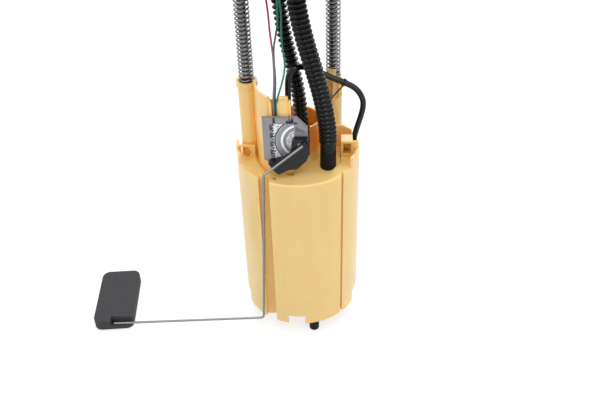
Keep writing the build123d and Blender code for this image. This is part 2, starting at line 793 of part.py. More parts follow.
with BuildPart() as pump_case:
    with BuildSketch(Plane.XY.offset(up(case_low))):
        Circle(pump_r)
        Circle(pump_r - case_wall, mode=Mode.SUBTRACT)
    extrude(amount=case_h)
    # plate between the impeller and the motor, with its shaft bore and fuel port
    with BuildSketch(Plane.XY.offset(up(case_low))):
        Circle(pump_r - case_wall / 2)
        Circle(shaft_r + shaft_gap, mode=Mode.SUBTRACT)
        with Locations((0, -impeller_r + 3.0)):
            Circle(2.0, mode=Mode.SUBTRACT)
    extrude(amount=case_plate_t)
pump_case.part.label = "pump_case"
export_step(pump_case.part, "parts/pump_case.step")

with BuildPart() as pump_magnets:
    with BuildSketch(Plane.XY.offset(up(motor_low))):
        Circle(magnet_r[1])
        Circle(magnet_r[0], mode=Mode.SUBTRACT)
        Rectangle(8.0, span, mode=Mode.SUBTRACT)
    extrude(amount=motor_top - motor_low)
pump_magnets.part.label = "pump_magnets"
export_step(pump_magnets.part, "parts/pump_magnets.step")

with BuildPart() as pump_cap:
    with BuildSketch(Plane.XY.offset(up(case_top))):
        Circle(pump_r)
    extrude(amount=cap_h)
    fillet(pump_cap.edges().group_by(Axis.Z)[-1], 2.5)
    # spigot inside the case, hollow round the commutator, shaft bore
    with BuildSketch(Plane.XY.offset(up(case_top - cap_spigot_h))):
        Circle(pump_r - case_wall - 0.05)
        Circle(commutator_r + 5.5, mode=Mode.SUBTRACT)
    extrude(amount=cap_spigot_h)
    with BuildSketch(Plane.XY.offset(up(case_top))):
        Circle(shaft_r + shaft_gap)
    extrude(amount=bearing_h, mode=Mode.SUBTRACT)
    # outlet and jet nipples
    with BuildSketch(Plane.XY.offset(up(cap_top))):
        with Locations(outlet_at):
            Circle(supply_bore_r - barb_gap)
        with Locations(jet_at):
            Circle(jet_bore_r - barb_gap / 2)
    extrude(amount=nipple_h)
    with BuildSketch(Plane.XY.offset(up(cap_top - 4.0))):
        with Locations(outlet_at):
            Circle(supply_bore_r - 1.8)
    extrude(amount=nipple_h + 4.0, mode=Mode.SUBTRACT)
    # sockets of the terminals
    with BuildSketch(Plane.XY.offset(up(cap_top - terminal_h / 2))):
        with Locations(*terminals_at):
            Rectangle(terminal_w, terminal_t)
    extrude(amount=terminal_h, mode=Mode.SUBTRACT)
pump_cap.part.label = "pump_cap"
export_step(pump_cap.part, "parts/pump_cap.step")

with BuildPart() as pump_terminals:
    with BuildSketch(Plane.XY.offset(up(cap_top - terminal_h / 2))):
        with Locations(*terminals_at):
            Rectangle(terminal_w, terminal_t)
    extrude(amount=terminal_h)
pump_terminals.part.label = "pump_terminals"
export_step(pump_terminals.part, "parts/pump_terminals.step")

with BuildPart() as pump_brushes:
    with BuildSketch(Plane.XY.offset(up(case_top - 5.0))):
        with Locations((commutator_r + 2.75, 0), (-commutator_r - 2.75, 0)):
            Rectangle(5.0, 4.0)
    extrude(amount=5.0)
pump_brushes.part.label = "pump_brushes"
export_step(pump_brushes.part, "parts/pump_brushes.step")

with BuildPart() as pump_armature:
    with BuildSketch(Plane.XY.offset(up(motor_low + 1.0))):
        Circle(armature_r)
        with PolarLocations(armature_r, armature_slots):
            Rectangle(2 * slot_reach, armature_slot_w, mode=Mode.SUBTRACT)
    extrude(amount=motor_top - motor_low - 2.0)
    with BuildSketch(Plane.XY.offset(up(motor_top - 1.0))):
        Circle(commutator_r)
    extrude(amount=case_top - motor_top - 0.5)
    with BuildSketch(Plane.XY.offset(up(case_low - inlet_h + 2.0))):
        Circle(shaft_r)
    extrude(amount=case_h + inlet_h - 2.0 + bearing_h - 0.5)
pump_armature.part.label = "pump_armature"
export_step(pump_armature.part, "parts/pump_armature.step")

with BuildPart() as pump_impeller:
    with BuildSketch(Plane.XY.offset(up(case_low - impeller_t - 0.3))):
        Circle(impeller_r)
        Circle(shaft_r, mode=Mode.SUBTRACT)
        with PolarLocations(impeller_r, impeller_vanes):
            Rectangle(4.0, 1.4, mode=Mode.SUBTRACT)
    extrude(amount=impeller_t)
pump_impeller.part.label = "pump_impeller"
export_step(pump_impeller.part, "parts/pump_impeller.step")

# ------------------------------------------------------------------------------------------
# Jet pump under the loop tube
# ------------------------------------------------------------------------------------------
with BuildPart() as jet_pump:
    with BuildSketch(Plane.XZ.offset(-jet_tube_hole[1])):
        with Locations((jet_low_x, up(floor_top + jet_axis_h))):
            Polygon(
                (-27.0, 0),
                (-27.0, 5.0),
                (-21.0, 3.2),
                (-12.0, 3.2),
                (-6.0, 4.2),
                (3.2, 4.2),
                (3.2, 0),
                align=None,
            )
    revolve(axis=Axis((0, jet_tube_hole[1], up(floor_top + jet_axis_h)), (1, 0, 0)))
    with BuildSketch(Plane.XY.offset(up(floor_top))):
        with Locations((jet_low_x - 4.0, jet_tube_hole[1])):
            Rectangle(8.0, 9.0)
    extrude(amount=jet_axis_h)
    with BuildSketch(Plane.XY.offset(up(floor_top + jet_axis_h))):
        with Locations((jet_low_x, jet_tube_hole[1])):
            Circle(3.2)
    extrude(amount=jet_body_h - jet_axis_h)
    with BuildSketch(Plane.XY.offset(up(floor_top + jet_body_h))):
        with Locations((jet_low_x, jet_tube_hole[1])):
            Circle(jet_bore_r - barb_gap / 2)
    extrude(amount=nipple_h / 2)
    # venturi bore, open at the wide end
    with BuildSketch(Plane.YZ.offset(jet_low_x - 27.0)):
        with Locations((jet_tube_hole[1], up(floor_top + jet_axis_h))):
            Circle(2.2)
    extrude(amount=22.0, mode=Mode.SUBTRACT)
jet_pump.part.label = "jet_pump"
export_step(jet_pump.part, "parts/jet_pump.step")

# ------------------------------------------------------------------------------------------
# Level sender on the web wall
# ------------------------------------------------------------------------------------------
bracket_t = web_front_y - bracket_front_y

with BuildPart() as sender_bracket:
    with BuildSketch(Plane.XZ.offset(-web_front_y)):
        Polygon(
            (bracket_x[0], up(bracket_low)),
            (bracket_x[1], up(bracket_low)),
            (bracket_x[1], up(bracket_top - 10.5)),
            (bracket_x[1] - 9.5, up(bracket_top)),
            (bracket_x[0], up(bracket_top)),
            align=None,
        )
    extrude(amount=bracket_t)
    # bevelled left flank
    with BuildSketch(Plane.XY.offset(up(bracket_low - 1.0))):
        Polygon(
            (bracket_x[0], web_front_y - 2.0),
            (bracket_x[0] + flank_w, bracket_front_y),
            (bracket_x[0] + flank_w, bracket_front_y - 1.0),
            (bracket_x[0] - 1.0, bracket_front_y - 1.0),
            (bracket_x[0] - 1.0, web_front_y - 2.0),
            align=None,
        )
    extrude(amount=bracket_top - bracket_low + 2.0, mode=Mode.SUBTRACT)
    # seat of the card, with deep slots beside and above it
    with BuildSketch(Plane.XZ.offset(-bracket_front_y)):
        with Locations((card_mid_x, up(card_mid_h))):
            Rectangle(card_w + 0.4, card_tall + 0.4)
    extrude(amount=-card_t, mode=Mode.SUBTRACT)
    with BuildSketch(Plane.XZ.offset(-bracket_front_y)):
        with Locations(*[(card_x[0] - 1.2, up(height)) for height in (16.0, 25.0, 34.0, 42.0)]):
            Rectangle(1.8, 6.0)
        with Locations((card_x[0] + 1.6, up(card_h[1] + 3.4)), (-2.4, up(card_h[1] + 2.9))):
            Rectangle(2.0, 6.4)
        with Locations((-0.5, up(card_h[1] + 0.6))):
            Rectangle(4.6, 2.4)
    extrude(amount=-slot_deep, mode=Mode.SUBTRACT)
    # sunk corner right of the card, with the ridge that runs down the chamfer
    with BuildSketch(Plane.XZ.offset(-bracket_front_y)):
        Polygon(
            (card_x[1] + 1.4, up(pivot_h + 9.0)),
            (bracket_x[1] - 1.6, up(pivot_h + 9.0)),
            (bracket_x[1] - 1.6, up(bracket_top - 14.0)),
            (card_x[1] + 1.4, up(card_h[1] - 3.0)),
            align=None,
        )
    extrude(amount=-1.6, mode=Mode.SUBTRACT)
    # pivot pin of the rotor
    with BuildSketch(Plane.XZ.offset(-bracket_front_y)):
        with Locations((pivot_x, up(pivot_h))):
            Circle(pivot_r)
    extrude(amount=bracket_front_y - rotor_front_y - pin_short)
    # terminal block that reaches into the wire slot
    with BuildSketch(Plane.XY.offset(up(slot_low + 0.4))):
        with Locations((slot_mid, web_front_y - 1.0)):
            Rectangle(slot_w - 0.6, slot_depth, align=(Align.CENTER, Align.MIN))
    extrude(amount=terminal_block_h)
    # shallow pockets in the back
    with BuildSketch(Plane.XZ.offset(-web_front_y)):
        with Locations((-11.5, up(26.0)), (6.0, up(15.0))):
            Rectangle(9.0, 12.0)
    extrude(amount=back_pocket, mode=Mode.SUBTRACT)
sender_bracket.part.label = "sender_bracket"
export_step(sender_bracket.part, "parts/sender_bracket.step")

with BuildPart() as sender_card:
    with BuildSketch(Plane.XZ.offset(-bracket_front_y - card_t)):
        with Locations((card_mid_x, up(card_mid_h))):
            Rectangle(card_w, card_tall)
    extrude(amount=card_t)
sender_card.part.label = "sender_card"
export_step(sender_card.part, "parts/sender_card.step")

arm_route = (
    (6.8, arm_y, up(28.5)),
    (-29.7, arm_y, up(-3.5)),
    (arm_knee_x, arm_y, up(arm_low)),
    (float_leg_x, arm_y, up(float_leg_h)),
    (float_leg_x, arm_y + float_leg, up(float_leg_h)),
)
arm_bends = (4.0, 4.0, 3.5)

with BuildPart() as sender_rotor:
    with BuildSketch(Plane.XZ.offset(-rotor_back_y)):
        with BuildLine():
            Polyline(*[(x, up(height)) for x, height in rotor_outline], close=True)
        make_face()
    extrude(amount=rotor_back_y - rotor_front_y)
    fillet(sender_rotor.edges().filter_by(Axis.Y).sort_by(Axis.Z)[-2:], 1.5)
    # raised rib along the arm
    with BuildSketch(Plane.XZ.offset(-rotor_front_y)):
        with BuildLine():
            Polyline(*[(x, up(height)) for x, height in rib_outline], close=True)
        make_face()
    extrude(amount=rotor_front_y - arm_y + 0.4)
    with BuildSketch(Plane.XZ.offset(-rotor_back_y)):
        with Locations((pivot_x, up(pivot_h))):
            Circle(pivot_r + pivot_gap)
    extrude(amount=rotor_back_y - rotor_front_y, mode=Mode.SUBTRACT)
    # groove that the arm wire is pressed into
    with BuildLine() as groove_line:
        FilletPolyline(*arm_route[:3], radius=arm_bends[0])
    with BuildSketch(Plane(origin=groove_line.line @ 0, z_dir=groove_line.line % 0)):
        Circle(arm_r + arm_gap)
    sweep(path=groove_line.line, mode=Mode.SUBTRACT)
sender_rotor.part.label = "sender_rotor"
export_step(sender_rotor.part, "parts/sender_rotor.step")

wiper_tilt = math.degrees(math.atan2(pivot_h - wiper_at[1], pivot_x - wiper_at[0]))
with BuildPart() as wiper_contact:
    with BuildSketch(Plane.XZ.offset(-rotor_back_y)):
        with Locations(Location((wiper_at[0], up(wiper_at[1]), 0), (0, 0, wiper_tilt))):
            Rectangle(*wiper_size)
    extrude(amount=-wiper_t)
wiper_contact.part.label = "wiper_contact"
export_step(wiper_contact.part, "parts/wiper_contact.step")

with BuildPart() as arm_wire:
    with BuildLine() as arm_line:
        FilletPolyline(*arm_route, radius=arm_bends)
    with BuildSketch(Plane(origin=arm_line.line @ 0, z_dir=arm_line.line % 0)):
        Circle(arm_r)
    sweep(path=arm_line.line)
arm_wire.part.label = "arm_wire"
export_step(arm_wire.part, "parts/arm_wire.step")

float_plane = Plane(
    origin=(float_at[0], float_at[1], up(float_top - float_size[2])),
    x_dir=(math.cos(math.radians(float_yaw)), math.sin(math.radians(float_yaw)), 0),
    z_dir=(0, 0, 1),
)
with BuildPart() as float_slab:
    with BuildSketch(float_plane):
        RectangleRounded(float_size[0], float_size[1], float_corner_r)
    extrude(amount=float_size[2])
    fillet(float_slab.edges().group_by(Axis.Z)[0], 1.2)
    fillet(float_slab.edges().group_by(Axis.Z)[-1], 1.2)
    # notch for the arm wire and the bore of its leg
    with BuildSketch(Plane.XY.offset(up(float_leg_h - arm_r - arm_gap))):
        with Locations((float_leg_x - arm_r - arm_gap, arm_y + 4.0)):
            Rectangle(float_size[0], 12.0, align=(Align.MIN, Align.MAX))
    extrude(amount=float_size[2], mode=Mode.SUBTRACT)
    with BuildSketch(Plane.XZ.offset(-arm_y)):
        with Locations((float_leg_x, up(float_leg_h))):
            Circle(arm_r + arm_gap)
    extrude(amount=-float_leg - 0.5, mode=Mode.SUBTRACT)
float_slab.part.label = "float_slab"
export_step(float_slab.part, "parts/float_slab.step")

# ------------------------------------------------------------------------------------------
# Cover: plate, seal, guide rods with their clips, fuel ports, connector
# ------------------------------------------------------------------------------------------
plate_low = seal_t
plate_top = seal_t + cover_t

with BuildPart() as cover_seal:
    with BuildSketch():
        Circle(seal_r)
        Circle(seal_r - seal_w, mode=Mode.SUBTRACT)
    extrude(amount=seal_t)
cover_seal.part.label = "cover_seal"
export_step(cover_seal.part, "parts/cover_seal.step")

with BuildPart() as cover_plate:
    with BuildSketch(Plane.XZ):
        with BuildLine():
            Polyline(
                (0, plate_low),
                (cover_r, plate_low),
                (cover_r, plate_top),
                (bead_r + bead_w, plate_top),
                (bead_r + bead_w / 2, plate_top + bead_h),
                (bead_r - bead_w / 2, plate_top + bead_h),
                (bead_r - bead_w, plate_top),
                (0, plate_top),
                close=True,
            )
        make_face()
    revolve(axis=Axis.Z)
    # underside of the pressed bead
    with BuildSketch(Plane.XZ):
        Polygon(
            (bead_r + bead_w - cover_t, plate_low),
            (bead_r + bead_w / 2 - 0.8, plate_low + bead_h),
            (bead_r - bead_w / 2 + 0.8, plate_low + bead_h),
            (bead_r - bead_w + cover_t, plate_low),
            align=None,
        )
    revolve(axis=Axis.Z, mode=Mode.SUBTRACT)
    # locating notches of the lock ring
    with BuildSketch(Plane.XY.offset(plate_low)):
        with PolarLocations(cover_r, notch_count, start_angle=notch_azimuth):
            Rectangle(2 * notch_depth, notch_w)
    extrude(amount=cover_t, mode=Mode.SUBTRACT)
    # holes of the rods, ports and connector
    with BuildSketch(Plane.XY.offset(plate_low)):
        with Locations(left_axis, right_axis):
            Circle(rivet_r)
        with Locations(supply_at):
            Circle(supply_port_r)
        with Locations(return_port_at):
            Circle(return_port_r)
        with Locations(vapour_at):
            Circle(vapour_port_r)
        with Locations(connector_at):
            RectangleRounded(connector_w - 4.0, connector_d - 4.0, 2.0)
    extrude(amount=cover_t, mode=Mode.SUBTRACT)
cover_plate.part.label = "cover_plate"
export_step(cover_plate.part, "parts/cover_plate.step")

for side, axis in (("left", left_axis), ("right", right_axis)):
    with BuildPart() as guide_rod:
        with BuildSketch(Plane.XZ.offset(-axis[1])):
            with BuildLine():
                Polyline(
                    (axis[0], plate_top + rivet_h),
                    (axis[0] + rivet_r + 1.8, plate_top + rivet_h),
                    (axis[0] + rivet_r + 1.8, plate_top),
                    (axis[0] + rivet_r, plate_top),
                    (axis[0] + rivet_r, plate_low),
                    (axis[0] + rod_collar_r, plate_low),
                    (axis[0] + rod_collar_r, spring_seat_z),
                    (axis[0] + rod_r, spring_seat_z),
                    (axis[0] + rod_r, up(-ledge_drop)),
                    (axis[0] + clip_groove_r, up(-ledge_drop)),
                    (axis[0] + clip_groove_r, up(-ledge_drop - clip_t)),
                    (axis[0] + rod_r, up(-ledge_drop - clip_t)),
                    (axis[0] + rod_r, up(rod_low + 1.0)),
                    (axis[0] + rod_r - 1.0, up(rod_low)),
                    (axis[0], up(rod_low)),
                    close=True,
                )
            make_face()
        revolve(axis=Axis((axis[0], axis[1], 0), (0, 0, 1)))
    guide_rod.part.label = f"guide_rod_{side}"
    export_step(guide_rod.part, f"parts/guide_rod_{side}.step")

with BuildPart() as rod_clips:
    with BuildSketch(Plane.XY.offset(up(-ledge_drop - clip_t))):
        with Locations(left_axis, right_axis):
            Circle(clip_r)
            Circle(clip_groove_r, mode=Mode.SUBTRACT)
            Rectangle(clip_r + 1, 4.0, align=(Align.MIN, Align.CENTER), mode=Mode.SUBTRACT)
    extrude(amount=clip_t)
rod_clips.part.label = "rod_clips"
export_step(rod_clips.part, "parts/rod_clips.step")

# each port: nipple below the plate, flange, elbow and a quick-connect bead above it
ports = (
    ("supply_port", supply_at, supply_port_r, supply_low, supply_reach),
    ("return_port", return_port_at, return_port_r, return_low, return_reach),
    ("vapour_port", vapour_at, vapour_port_r, vapour_low, vapour_reach),
)
for label, place, radius, low, reach in ports:
    with BuildPart() as port:
        with BuildLine() as port_line:
            FilletPolyline(
                (place[0], place[1], low),
                (place[0], place[1], elbow_z),
                (place[0], place[1] + reach, elbow_z),
                radius=elbow_r,
            )
        with BuildSketch(Plane.XY.offset(low)):
            with Locations(place):
                Circle(radius)
                Circle(radius - port_wall, mode=Mode.SUBTRACT)
        sweep(path=port_line.line)
        with BuildSketch(Plane.XY.offset(plate_top)):
            with Locations(place):
                Circle(radius + 3.0)
                Circle(radius - 0.4, mode=Mode.SUBTRACT)
        extrude(amount=1.5)
        with BuildSketch(Plane.XZ.offset(-place[1] - reach + math.copysign(bead_back, reach))):
            with Locations((place[0], elbow_z)):
                Circle(radius + 1.2)
                Circle(radius - 0.4, mode=Mode.SUBTRACT)
        extrude(amount=2.4)
    port.part.label = label
    export_step(port.part, f"parts/{label}.step")

with BuildPart() as connector_shell:
    # potted body below the plate, neck through it, shrouded socket above
    with BuildSketch(Plane.XY.offset(connector_low)):
        with Locations(connector_at):
            RectangleRounded(connector_w, connector_d, 2.5)
    extrude(amount=plate_low - connector_low)
    with BuildSketch(Plane.XY.offset(plate_low)):
        with Locations(connector_at):
            RectangleRounded(connector_w - 4.0, connector_d - 4.0, 2.0)
    extrude(amount=cover_t)
    with BuildSketch(Plane.XY.offset(plate_top)):
        with Locations(connector_at):
            RectangleRounded(connector_w, connector_d, 2.5)
    extrude(amount=connector_top - plate_top)
    with BuildSketch(Plane.XY.offset(connector_floor)):
        with Locations(connector_at):
            RectangleRounded(connector_w - 4.0, connector_d - 4.0, 1.5)
    extrude(amount=connector_top - connector_floor, mode=Mode.SUBTRACT)
    with BuildSketch(Plane.XY.offset(connector_top - 7.0)):
        with Locations((connector_at[0], connector_at[1] - connector_d / 2)):
            Rectangle(6.0, 3.0, align=(Align.CENTER, Align.MAX))
    extrude(amount=4.0)
    with BuildSketch(Plane.XY.offset(connector_floor - pin_root)):
        with Locations(connector_at):
            with GridLocations(pin_pitch, pin_row, 2, 2):
                Rectangle(pin_w, pin_t)
    extrude(amount=pin_root, mode=Mode.SUBTRACT)
connector_shell.part.label = "connector_shell"
export_step(connector_shell.part, "parts/connector_shell.step")

with BuildPart() as connector_pins:
    with BuildSketch(Plane.XY.offset(connector_floor - pin_root)):
        with Locations(connector_at):
            with GridLocations(pin_pitch, pin_row, 2, 2):
                Rectangle(pin_w, pin_t)
    extrude(amount=pin_root + connector_top - connector_floor - 3.0)
connector_pins.part.label = "connector_pins"
export_step(connector_pins.part, "parts/connector_pins.step")

# ------------------------------------------------------------------------------------------
# Springs between the towers' cups and the rods' collars
# ------------------------------------------------------------------------------------------
spring_low = up(tower_top - cup_depth) + spring_wire / 2
coil_height = spring_seat_z - spring_wire / 2 - spring_low

for side, axis in (("left", left_axis), ("right", right_axis)):
    with BuildPart() as spring:
        with BuildLine() as coil:
            Helix(
                pitch=spring_pitch,
                height=coil_height,
                radius=spring_r - spring_wire / 2,
                center=(axis[0], axis[1], spring_low),
            )
        with BuildSketch(Plane(origin=coil.line @ 0, z_dir=coil.line % 0)):
            Rectangle(spring_wire * 0.9, spring_wire * 0.9)
        sweep(path=coil.line, is_frenet=True)
    spring.part.label = f"spring_{side}"
    export_step(spring.part, f"parts/spring_{side}.step")

# ------------------------------------------------------------------------------------------
# Hoses, jet tube and wires: straight runs joined by tangent arcs
# ------------------------------------------------------------------------------------------
supply_route = (
    (-14.0, 0.0, plate_low),
    (-14.0, 0.0, -28.0),
    (-9.3, 0.0, -70.7),
    (-4.4, 0.0, -92.5),
    (2.0, 0.0, -127.7),
    (4.2, 0.0, -160.0),
    (outlet_at[0], outlet_at[1], -190.0),
    (outlet_at[0], outlet_at[1], up(cap_top) + 1.0),
)
return_route = (
    (1.5, -25.0, plate_low),
    (1.5, -25.0, -22.0),
    (7.9, -25.0, -59.0),
    (16.5, -25.0, -91.0),
    (22.3, -25.0, -113.6),
    (26.3, -25.0, -135.0),
    (return_at[0], return_at[1], -155.0),
    (return_at[0], return_at[1], up(cuff_top)),
)
jet_route = (
    (jet_at[0], jet_at[1], up(cap_top) + 1.0),
    (-8.0, -9.0, -198.0),
    (-7.6, -12.6, -172.0),
    (-7.0, -16.3, -148.0),
    (-6.9, -16.5, -123.4),
    (-6.3, -16.5, -103.0),
    (-2.4, -15.0, -96.8),
    (4.4, -12.0, -95.0),
    (15.6, -8.0, -99.6),
    (27.0, -4.0, -108.6),
    (41.5, 0.0, -116.8),
    (54.4, 2.0, -124.4),
    (61.0, 3.4, -136.0),
    (61.7, 4.0, -145.5),
    (59.2, 4.0, -157.0),
    (55.4, 4.0, -170.5),
    (53.0, 4.0, -183.0),
    (53.0, 4.0, -212.0),
    (52.6, 4.0, -254.0),
    (jet_low_x, jet_tube_hole[1], -305.0),
    (jet_low_x, jet_tube_hole[1], up(floor_top + jet_body_h) + 0.5),
)
pink_route = (
    (-23.0, -15.0, connector_low),
    (-23.0, -15.0, -22.0),
    (-20.8, -16.0, -45.1),
    (-20.3, -17.5, -57.9),
    (-19.3, -19.5, -67.8),
    (-17.9, -23.0, -79.9),
    (-17.3, -28.5, -92.2),
    (-17.6, -33.6, -103.3),
    (-18.5, -35.7, -113.9),
    (-18.9, -35.7, up(slot_low + 5.0)),
)
grey_route = (
    (-14.0, -15.0, connector_low),
    (-14.0, -15.0, -18.0),
    (-12.4, -12.0, -31.0),
    (-12.5, -12.2, -50.5),
    (-14.4, -14.6, -62.9),
    (-16.1, -18.0, -74.2),
    (-15.8, -22.4, -86.0),
    (-15.3, -27.5, -98.2),
    (-16.0, -31.6, -108.2),
    (-17.6, -33.6, -116.6),
    (-17.6, -33.6, up(slot_low + 5.0)),
)
teal_route = (
    (-15.0, -20.0, connector_low),
    (-15.0, -20.0, -16.0),
    (-12.8, -15.2, -30.0),
    (-11.4, -14.6, -46.0),
    (-10.7, -16.0, -59.7),
    (-10.1, -19.0, -74.7),
    (-8.0, -24.0, -85.3),
    (-8.4, -28.6, -92.6),
    (-10.5, -32.6, -100.3),
    (-13.0, -35.0, -108.2),
    (-16.3, -35.7, -117.5),
    (-16.3, -35.7, up(slot_low + 5.0)),
)
live_route = (
    (-26.0, -15.0, connector_low),
    (-26.0, -15.0, -15.0),
    (-25.0, -9.0, -24.0),
    (-21.0, 3.0, -34.0),
    (-14.0, 9.5, -48.0),
    (-8.6, 10.0, -72.0),
    (-3.6, 10.0, -96.0),
    (1.0, 10.2, -122.0),
    (2.2, 10.4, -150.0),
    (1.4, 11.4, -184.0),
    (terminals_at[0][0], terminals_at[0][1], up(cap_top + terminal_h / 2)),
)
ground_route = (
    (-29.0, -15.0, connector_low),
    (-29.0, -15.0, -15.0),
    (-28.0, -8.0, -25.0),
    (-24.0, 5.0, -36.0),
    (-15.0, 12.2, -50.0),
    (-8.0, 12.8, -74.0),
    (-2.4, 12.8, -98.0),
    (3.0, 12.8, -124.0),
    (5.6, 12.6, -152.0),
    (8.0, 12.2, -184.0),
    (terminals_at[1][0], terminals_at[1][1], up(cap_top + terminal_h / 2)),
)
cords = (
    ("supply_hose", supply_route, supply_hose_r, supply_bore_r),
    ("return_hose", return_route, return_hose_r, return_bore_r),
    ("jet_tube", jet_route, jet_tube_r, jet_bore_r),
    ("wire_pink", pink_route, wire_r, 0),
    ("wire_grey", grey_route, wire_r, 0),
    ("wire_teal", teal_route, wire_r, 0),
    ("pump_wire_live", live_route, wire_r, 0),
    ("pump_wire_ground", ground_route, wire_r, 0),
)
for label, route, radius, bore in cords:
    with BuildPart() as cord:
        with BuildLine() as run:
            FilletPolyline(*route, radius=bend_radii(route))
        with BuildSketch(Plane(origin=run.line @ 0, z_dir=run.line % 0)):
            Circle(radius)
            if bore:
                Circle(bore, mode=Mode.SUBTRACT)
        sweep(path=run.line)
    cord.part.label = label
    export_step(cord.part, f"parts/{label}.step")
    tube_volume = math.pi * (radius**2 - bore**2) * sum(edge.length for edge in run.edges())
    print(label, "volume / (section x length):", round(cord.part.volume / tube_volume, 4))
    print("   bend radii:", [round(bend, 1) for bend in bend_radii(route)])

with BuildPart() as return_cuff:
    with BuildSketch(Plane.XY.offset(up(retainer_top))):
        with Locations(return_at):
            Circle(cuff_r)
            Circle(cuff_bore_r, mode=Mode.SUBTRACT)
    extrude(amount=cuff_top - retainer_top)
return_cuff.part.label = "return_cuff"
export_step(return_cuff.part, "parts/return_cuff.step")

# tie on the loop of the jet tube: a ring across the tube and its cut-off tail
tie_dir = Vector(*jet_route[11]) - Vector(*jet_route[10])
tie_at = Vector(*jet_route[10]) + tie_dir * 0.15
with BuildPart() as tube_tie:
    with BuildSketch(Plane(origin=tie_at, z_dir=tie_dir)):
        Circle(jet_tube_r + tie_t)
        Circle(jet_tube_r + barb_gap, mode=Mode.SUBTRACT)
    extrude(amount=tie_w / 2, both=True)
    with BuildLine() as tail:
        Line(tie_at + Vector(-1.0, -jet_tube_r, -1.6), tie_at + Vector(*tie_tail))
    with BuildSketch(Plane(origin=tail.line @ 0, z_dir=tail.line % 0)):
        Rectangle(tie_w / 2, 0.8)
    sweep(path=tail.line)
tube_tie.part.label = "tube_tie"
export_step(tube_tie.part, "parts/tube_tie.step")
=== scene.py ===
# %% [markdown]
# # A fuel pump module
# The module hangs in a fuel tank.  A reservoir of tan acetal slides on two sprung guide rods
# below a round steel cover, and a float on a wire arm reads the level.  The solids come from the
# CAD frame, in metres.  This lesson adds what a solid leaves out: the corrugated hoses, the coil
# springs, the wires, the printed card of the sender, and the finish of every surface.

# %% Load the frame
import math

import bpy
import numpy as np
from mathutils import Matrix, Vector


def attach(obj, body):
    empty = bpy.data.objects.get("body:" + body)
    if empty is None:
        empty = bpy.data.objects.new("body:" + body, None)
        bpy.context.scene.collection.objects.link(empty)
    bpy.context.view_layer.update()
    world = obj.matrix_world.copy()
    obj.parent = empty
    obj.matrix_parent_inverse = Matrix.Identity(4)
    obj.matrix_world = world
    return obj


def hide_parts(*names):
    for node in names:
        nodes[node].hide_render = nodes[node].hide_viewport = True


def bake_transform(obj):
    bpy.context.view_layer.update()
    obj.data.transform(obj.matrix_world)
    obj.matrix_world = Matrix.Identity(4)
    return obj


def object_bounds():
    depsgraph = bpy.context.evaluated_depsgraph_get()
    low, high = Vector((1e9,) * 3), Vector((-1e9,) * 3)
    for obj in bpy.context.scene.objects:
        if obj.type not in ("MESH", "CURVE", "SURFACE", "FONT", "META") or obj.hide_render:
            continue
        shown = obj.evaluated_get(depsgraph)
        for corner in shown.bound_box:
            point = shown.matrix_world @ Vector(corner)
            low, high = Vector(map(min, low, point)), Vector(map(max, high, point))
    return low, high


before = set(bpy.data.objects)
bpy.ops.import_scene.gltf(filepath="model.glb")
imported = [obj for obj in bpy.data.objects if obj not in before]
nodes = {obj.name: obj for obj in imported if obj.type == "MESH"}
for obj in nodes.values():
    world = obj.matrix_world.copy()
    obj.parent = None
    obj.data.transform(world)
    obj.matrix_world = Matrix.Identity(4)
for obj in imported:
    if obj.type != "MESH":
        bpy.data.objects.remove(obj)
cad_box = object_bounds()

# %% [markdown]
# ## Camera
# The eye stands a little to the right of the reservoir's axis and looks down 37.4 degrees, so the
# upright walls stay nearly parallel.  A long lens from 0.7 m keeps the widths true.  The lens is
# centred 30 pixels right of the frame's middle, and a small shift says that.

# %% Camera
IMAGE = (600, 400)              # frame in pixels
FOCAL_PX = 760                  # focal length in pixels
CENTRE_PX = 330                 # column of the optical axis
LOOK_DOWN = 37.4                # degrees
EYE = (0.0306, -0.611, 0.2154)
SENSOR_MM = 36

lens = bpy.data.cameras.new("eye")
lens.sensor_width = SENSOR_MM
lens.lens = FOCAL_PX * SENSOR_MM / IMAGE[0]
lens.shift_x = (IMAGE[0] / 2 - CENTRE_PX) / IMAGE[0]
eye = bpy.data.objects.new("eye", lens)
bpy.context.scene.collection.objects.link(eye)
eye.location = EYE
eye.rotation_euler = (math.radians(90 - LOOK_DOWN), 0, 0)
bpy.context.scene.camera = eye
print("lens", round(lens.lens, 1), "mm, shift", round(lens.shift_x, 3))

# %% [markdown]
# ## Shader nodes and colours
# Each finish is a small tree of nodes.  One function adds a node with its settings and its links,
# and one turns a written sRGB colour into the linear numbers that light adds up in.  Blender has
# several sockets of one name on a Mix node, so those that carry colours are given by number.

# %% Nodes and colours
FACTOR, LOW, HIGH, MIXED = 0, 6, 7, 2           # a colour Mix node's inputs, and its output


def colour(code):
    """Linear RGBA of an sRGB hex code: each channel over 12.92 where it is below 0.04045, else the
    channel plus 0.055, over 1.055, to the power 2.4."""
    parts = [int(code[i : i + 2], 16) / 255 for i in (1, 3, 5)]
    return [c / 12.92 if c <= 0.04045 else ((c + 0.055) / 1.055) ** 2.4 for c in parts] + [1.0]


def add(tree, kind, inputs=(), **settings):
    """Adds a shader node: its properties by name, and each input another node's output, a hex
    colour or a plain value."""
    made = tree.nodes.new("ShaderNode" + kind)
    for name, value in settings.items():
        setattr(made, name, value)
    for socket, value in dict(inputs).items():
        if isinstance(value, bpy.types.NodeSocket):
            tree.links.new(value, made.inputs[socket])
        else:
            made.inputs[socket].default_value = colour(value) if isinstance(value, str) else value
    return made


print("mid grey #808080 is", round(colour("#808080")[0], 3), "in linear light")

# %% [markdown]
# ## Start and end of a finish
# Every finish starts with an empty tree and the Object coordinates, which stay with the piece when
# it moves.  Two things come back in nearly all of them: soft noise of a real size, for the uneven
# tone of a made surface, and a fine relief.  A Bump node tilts the normal by the noise, which costs
# no geometry, and a Bevel node under it rounds the edges that the solid leaves sharp.

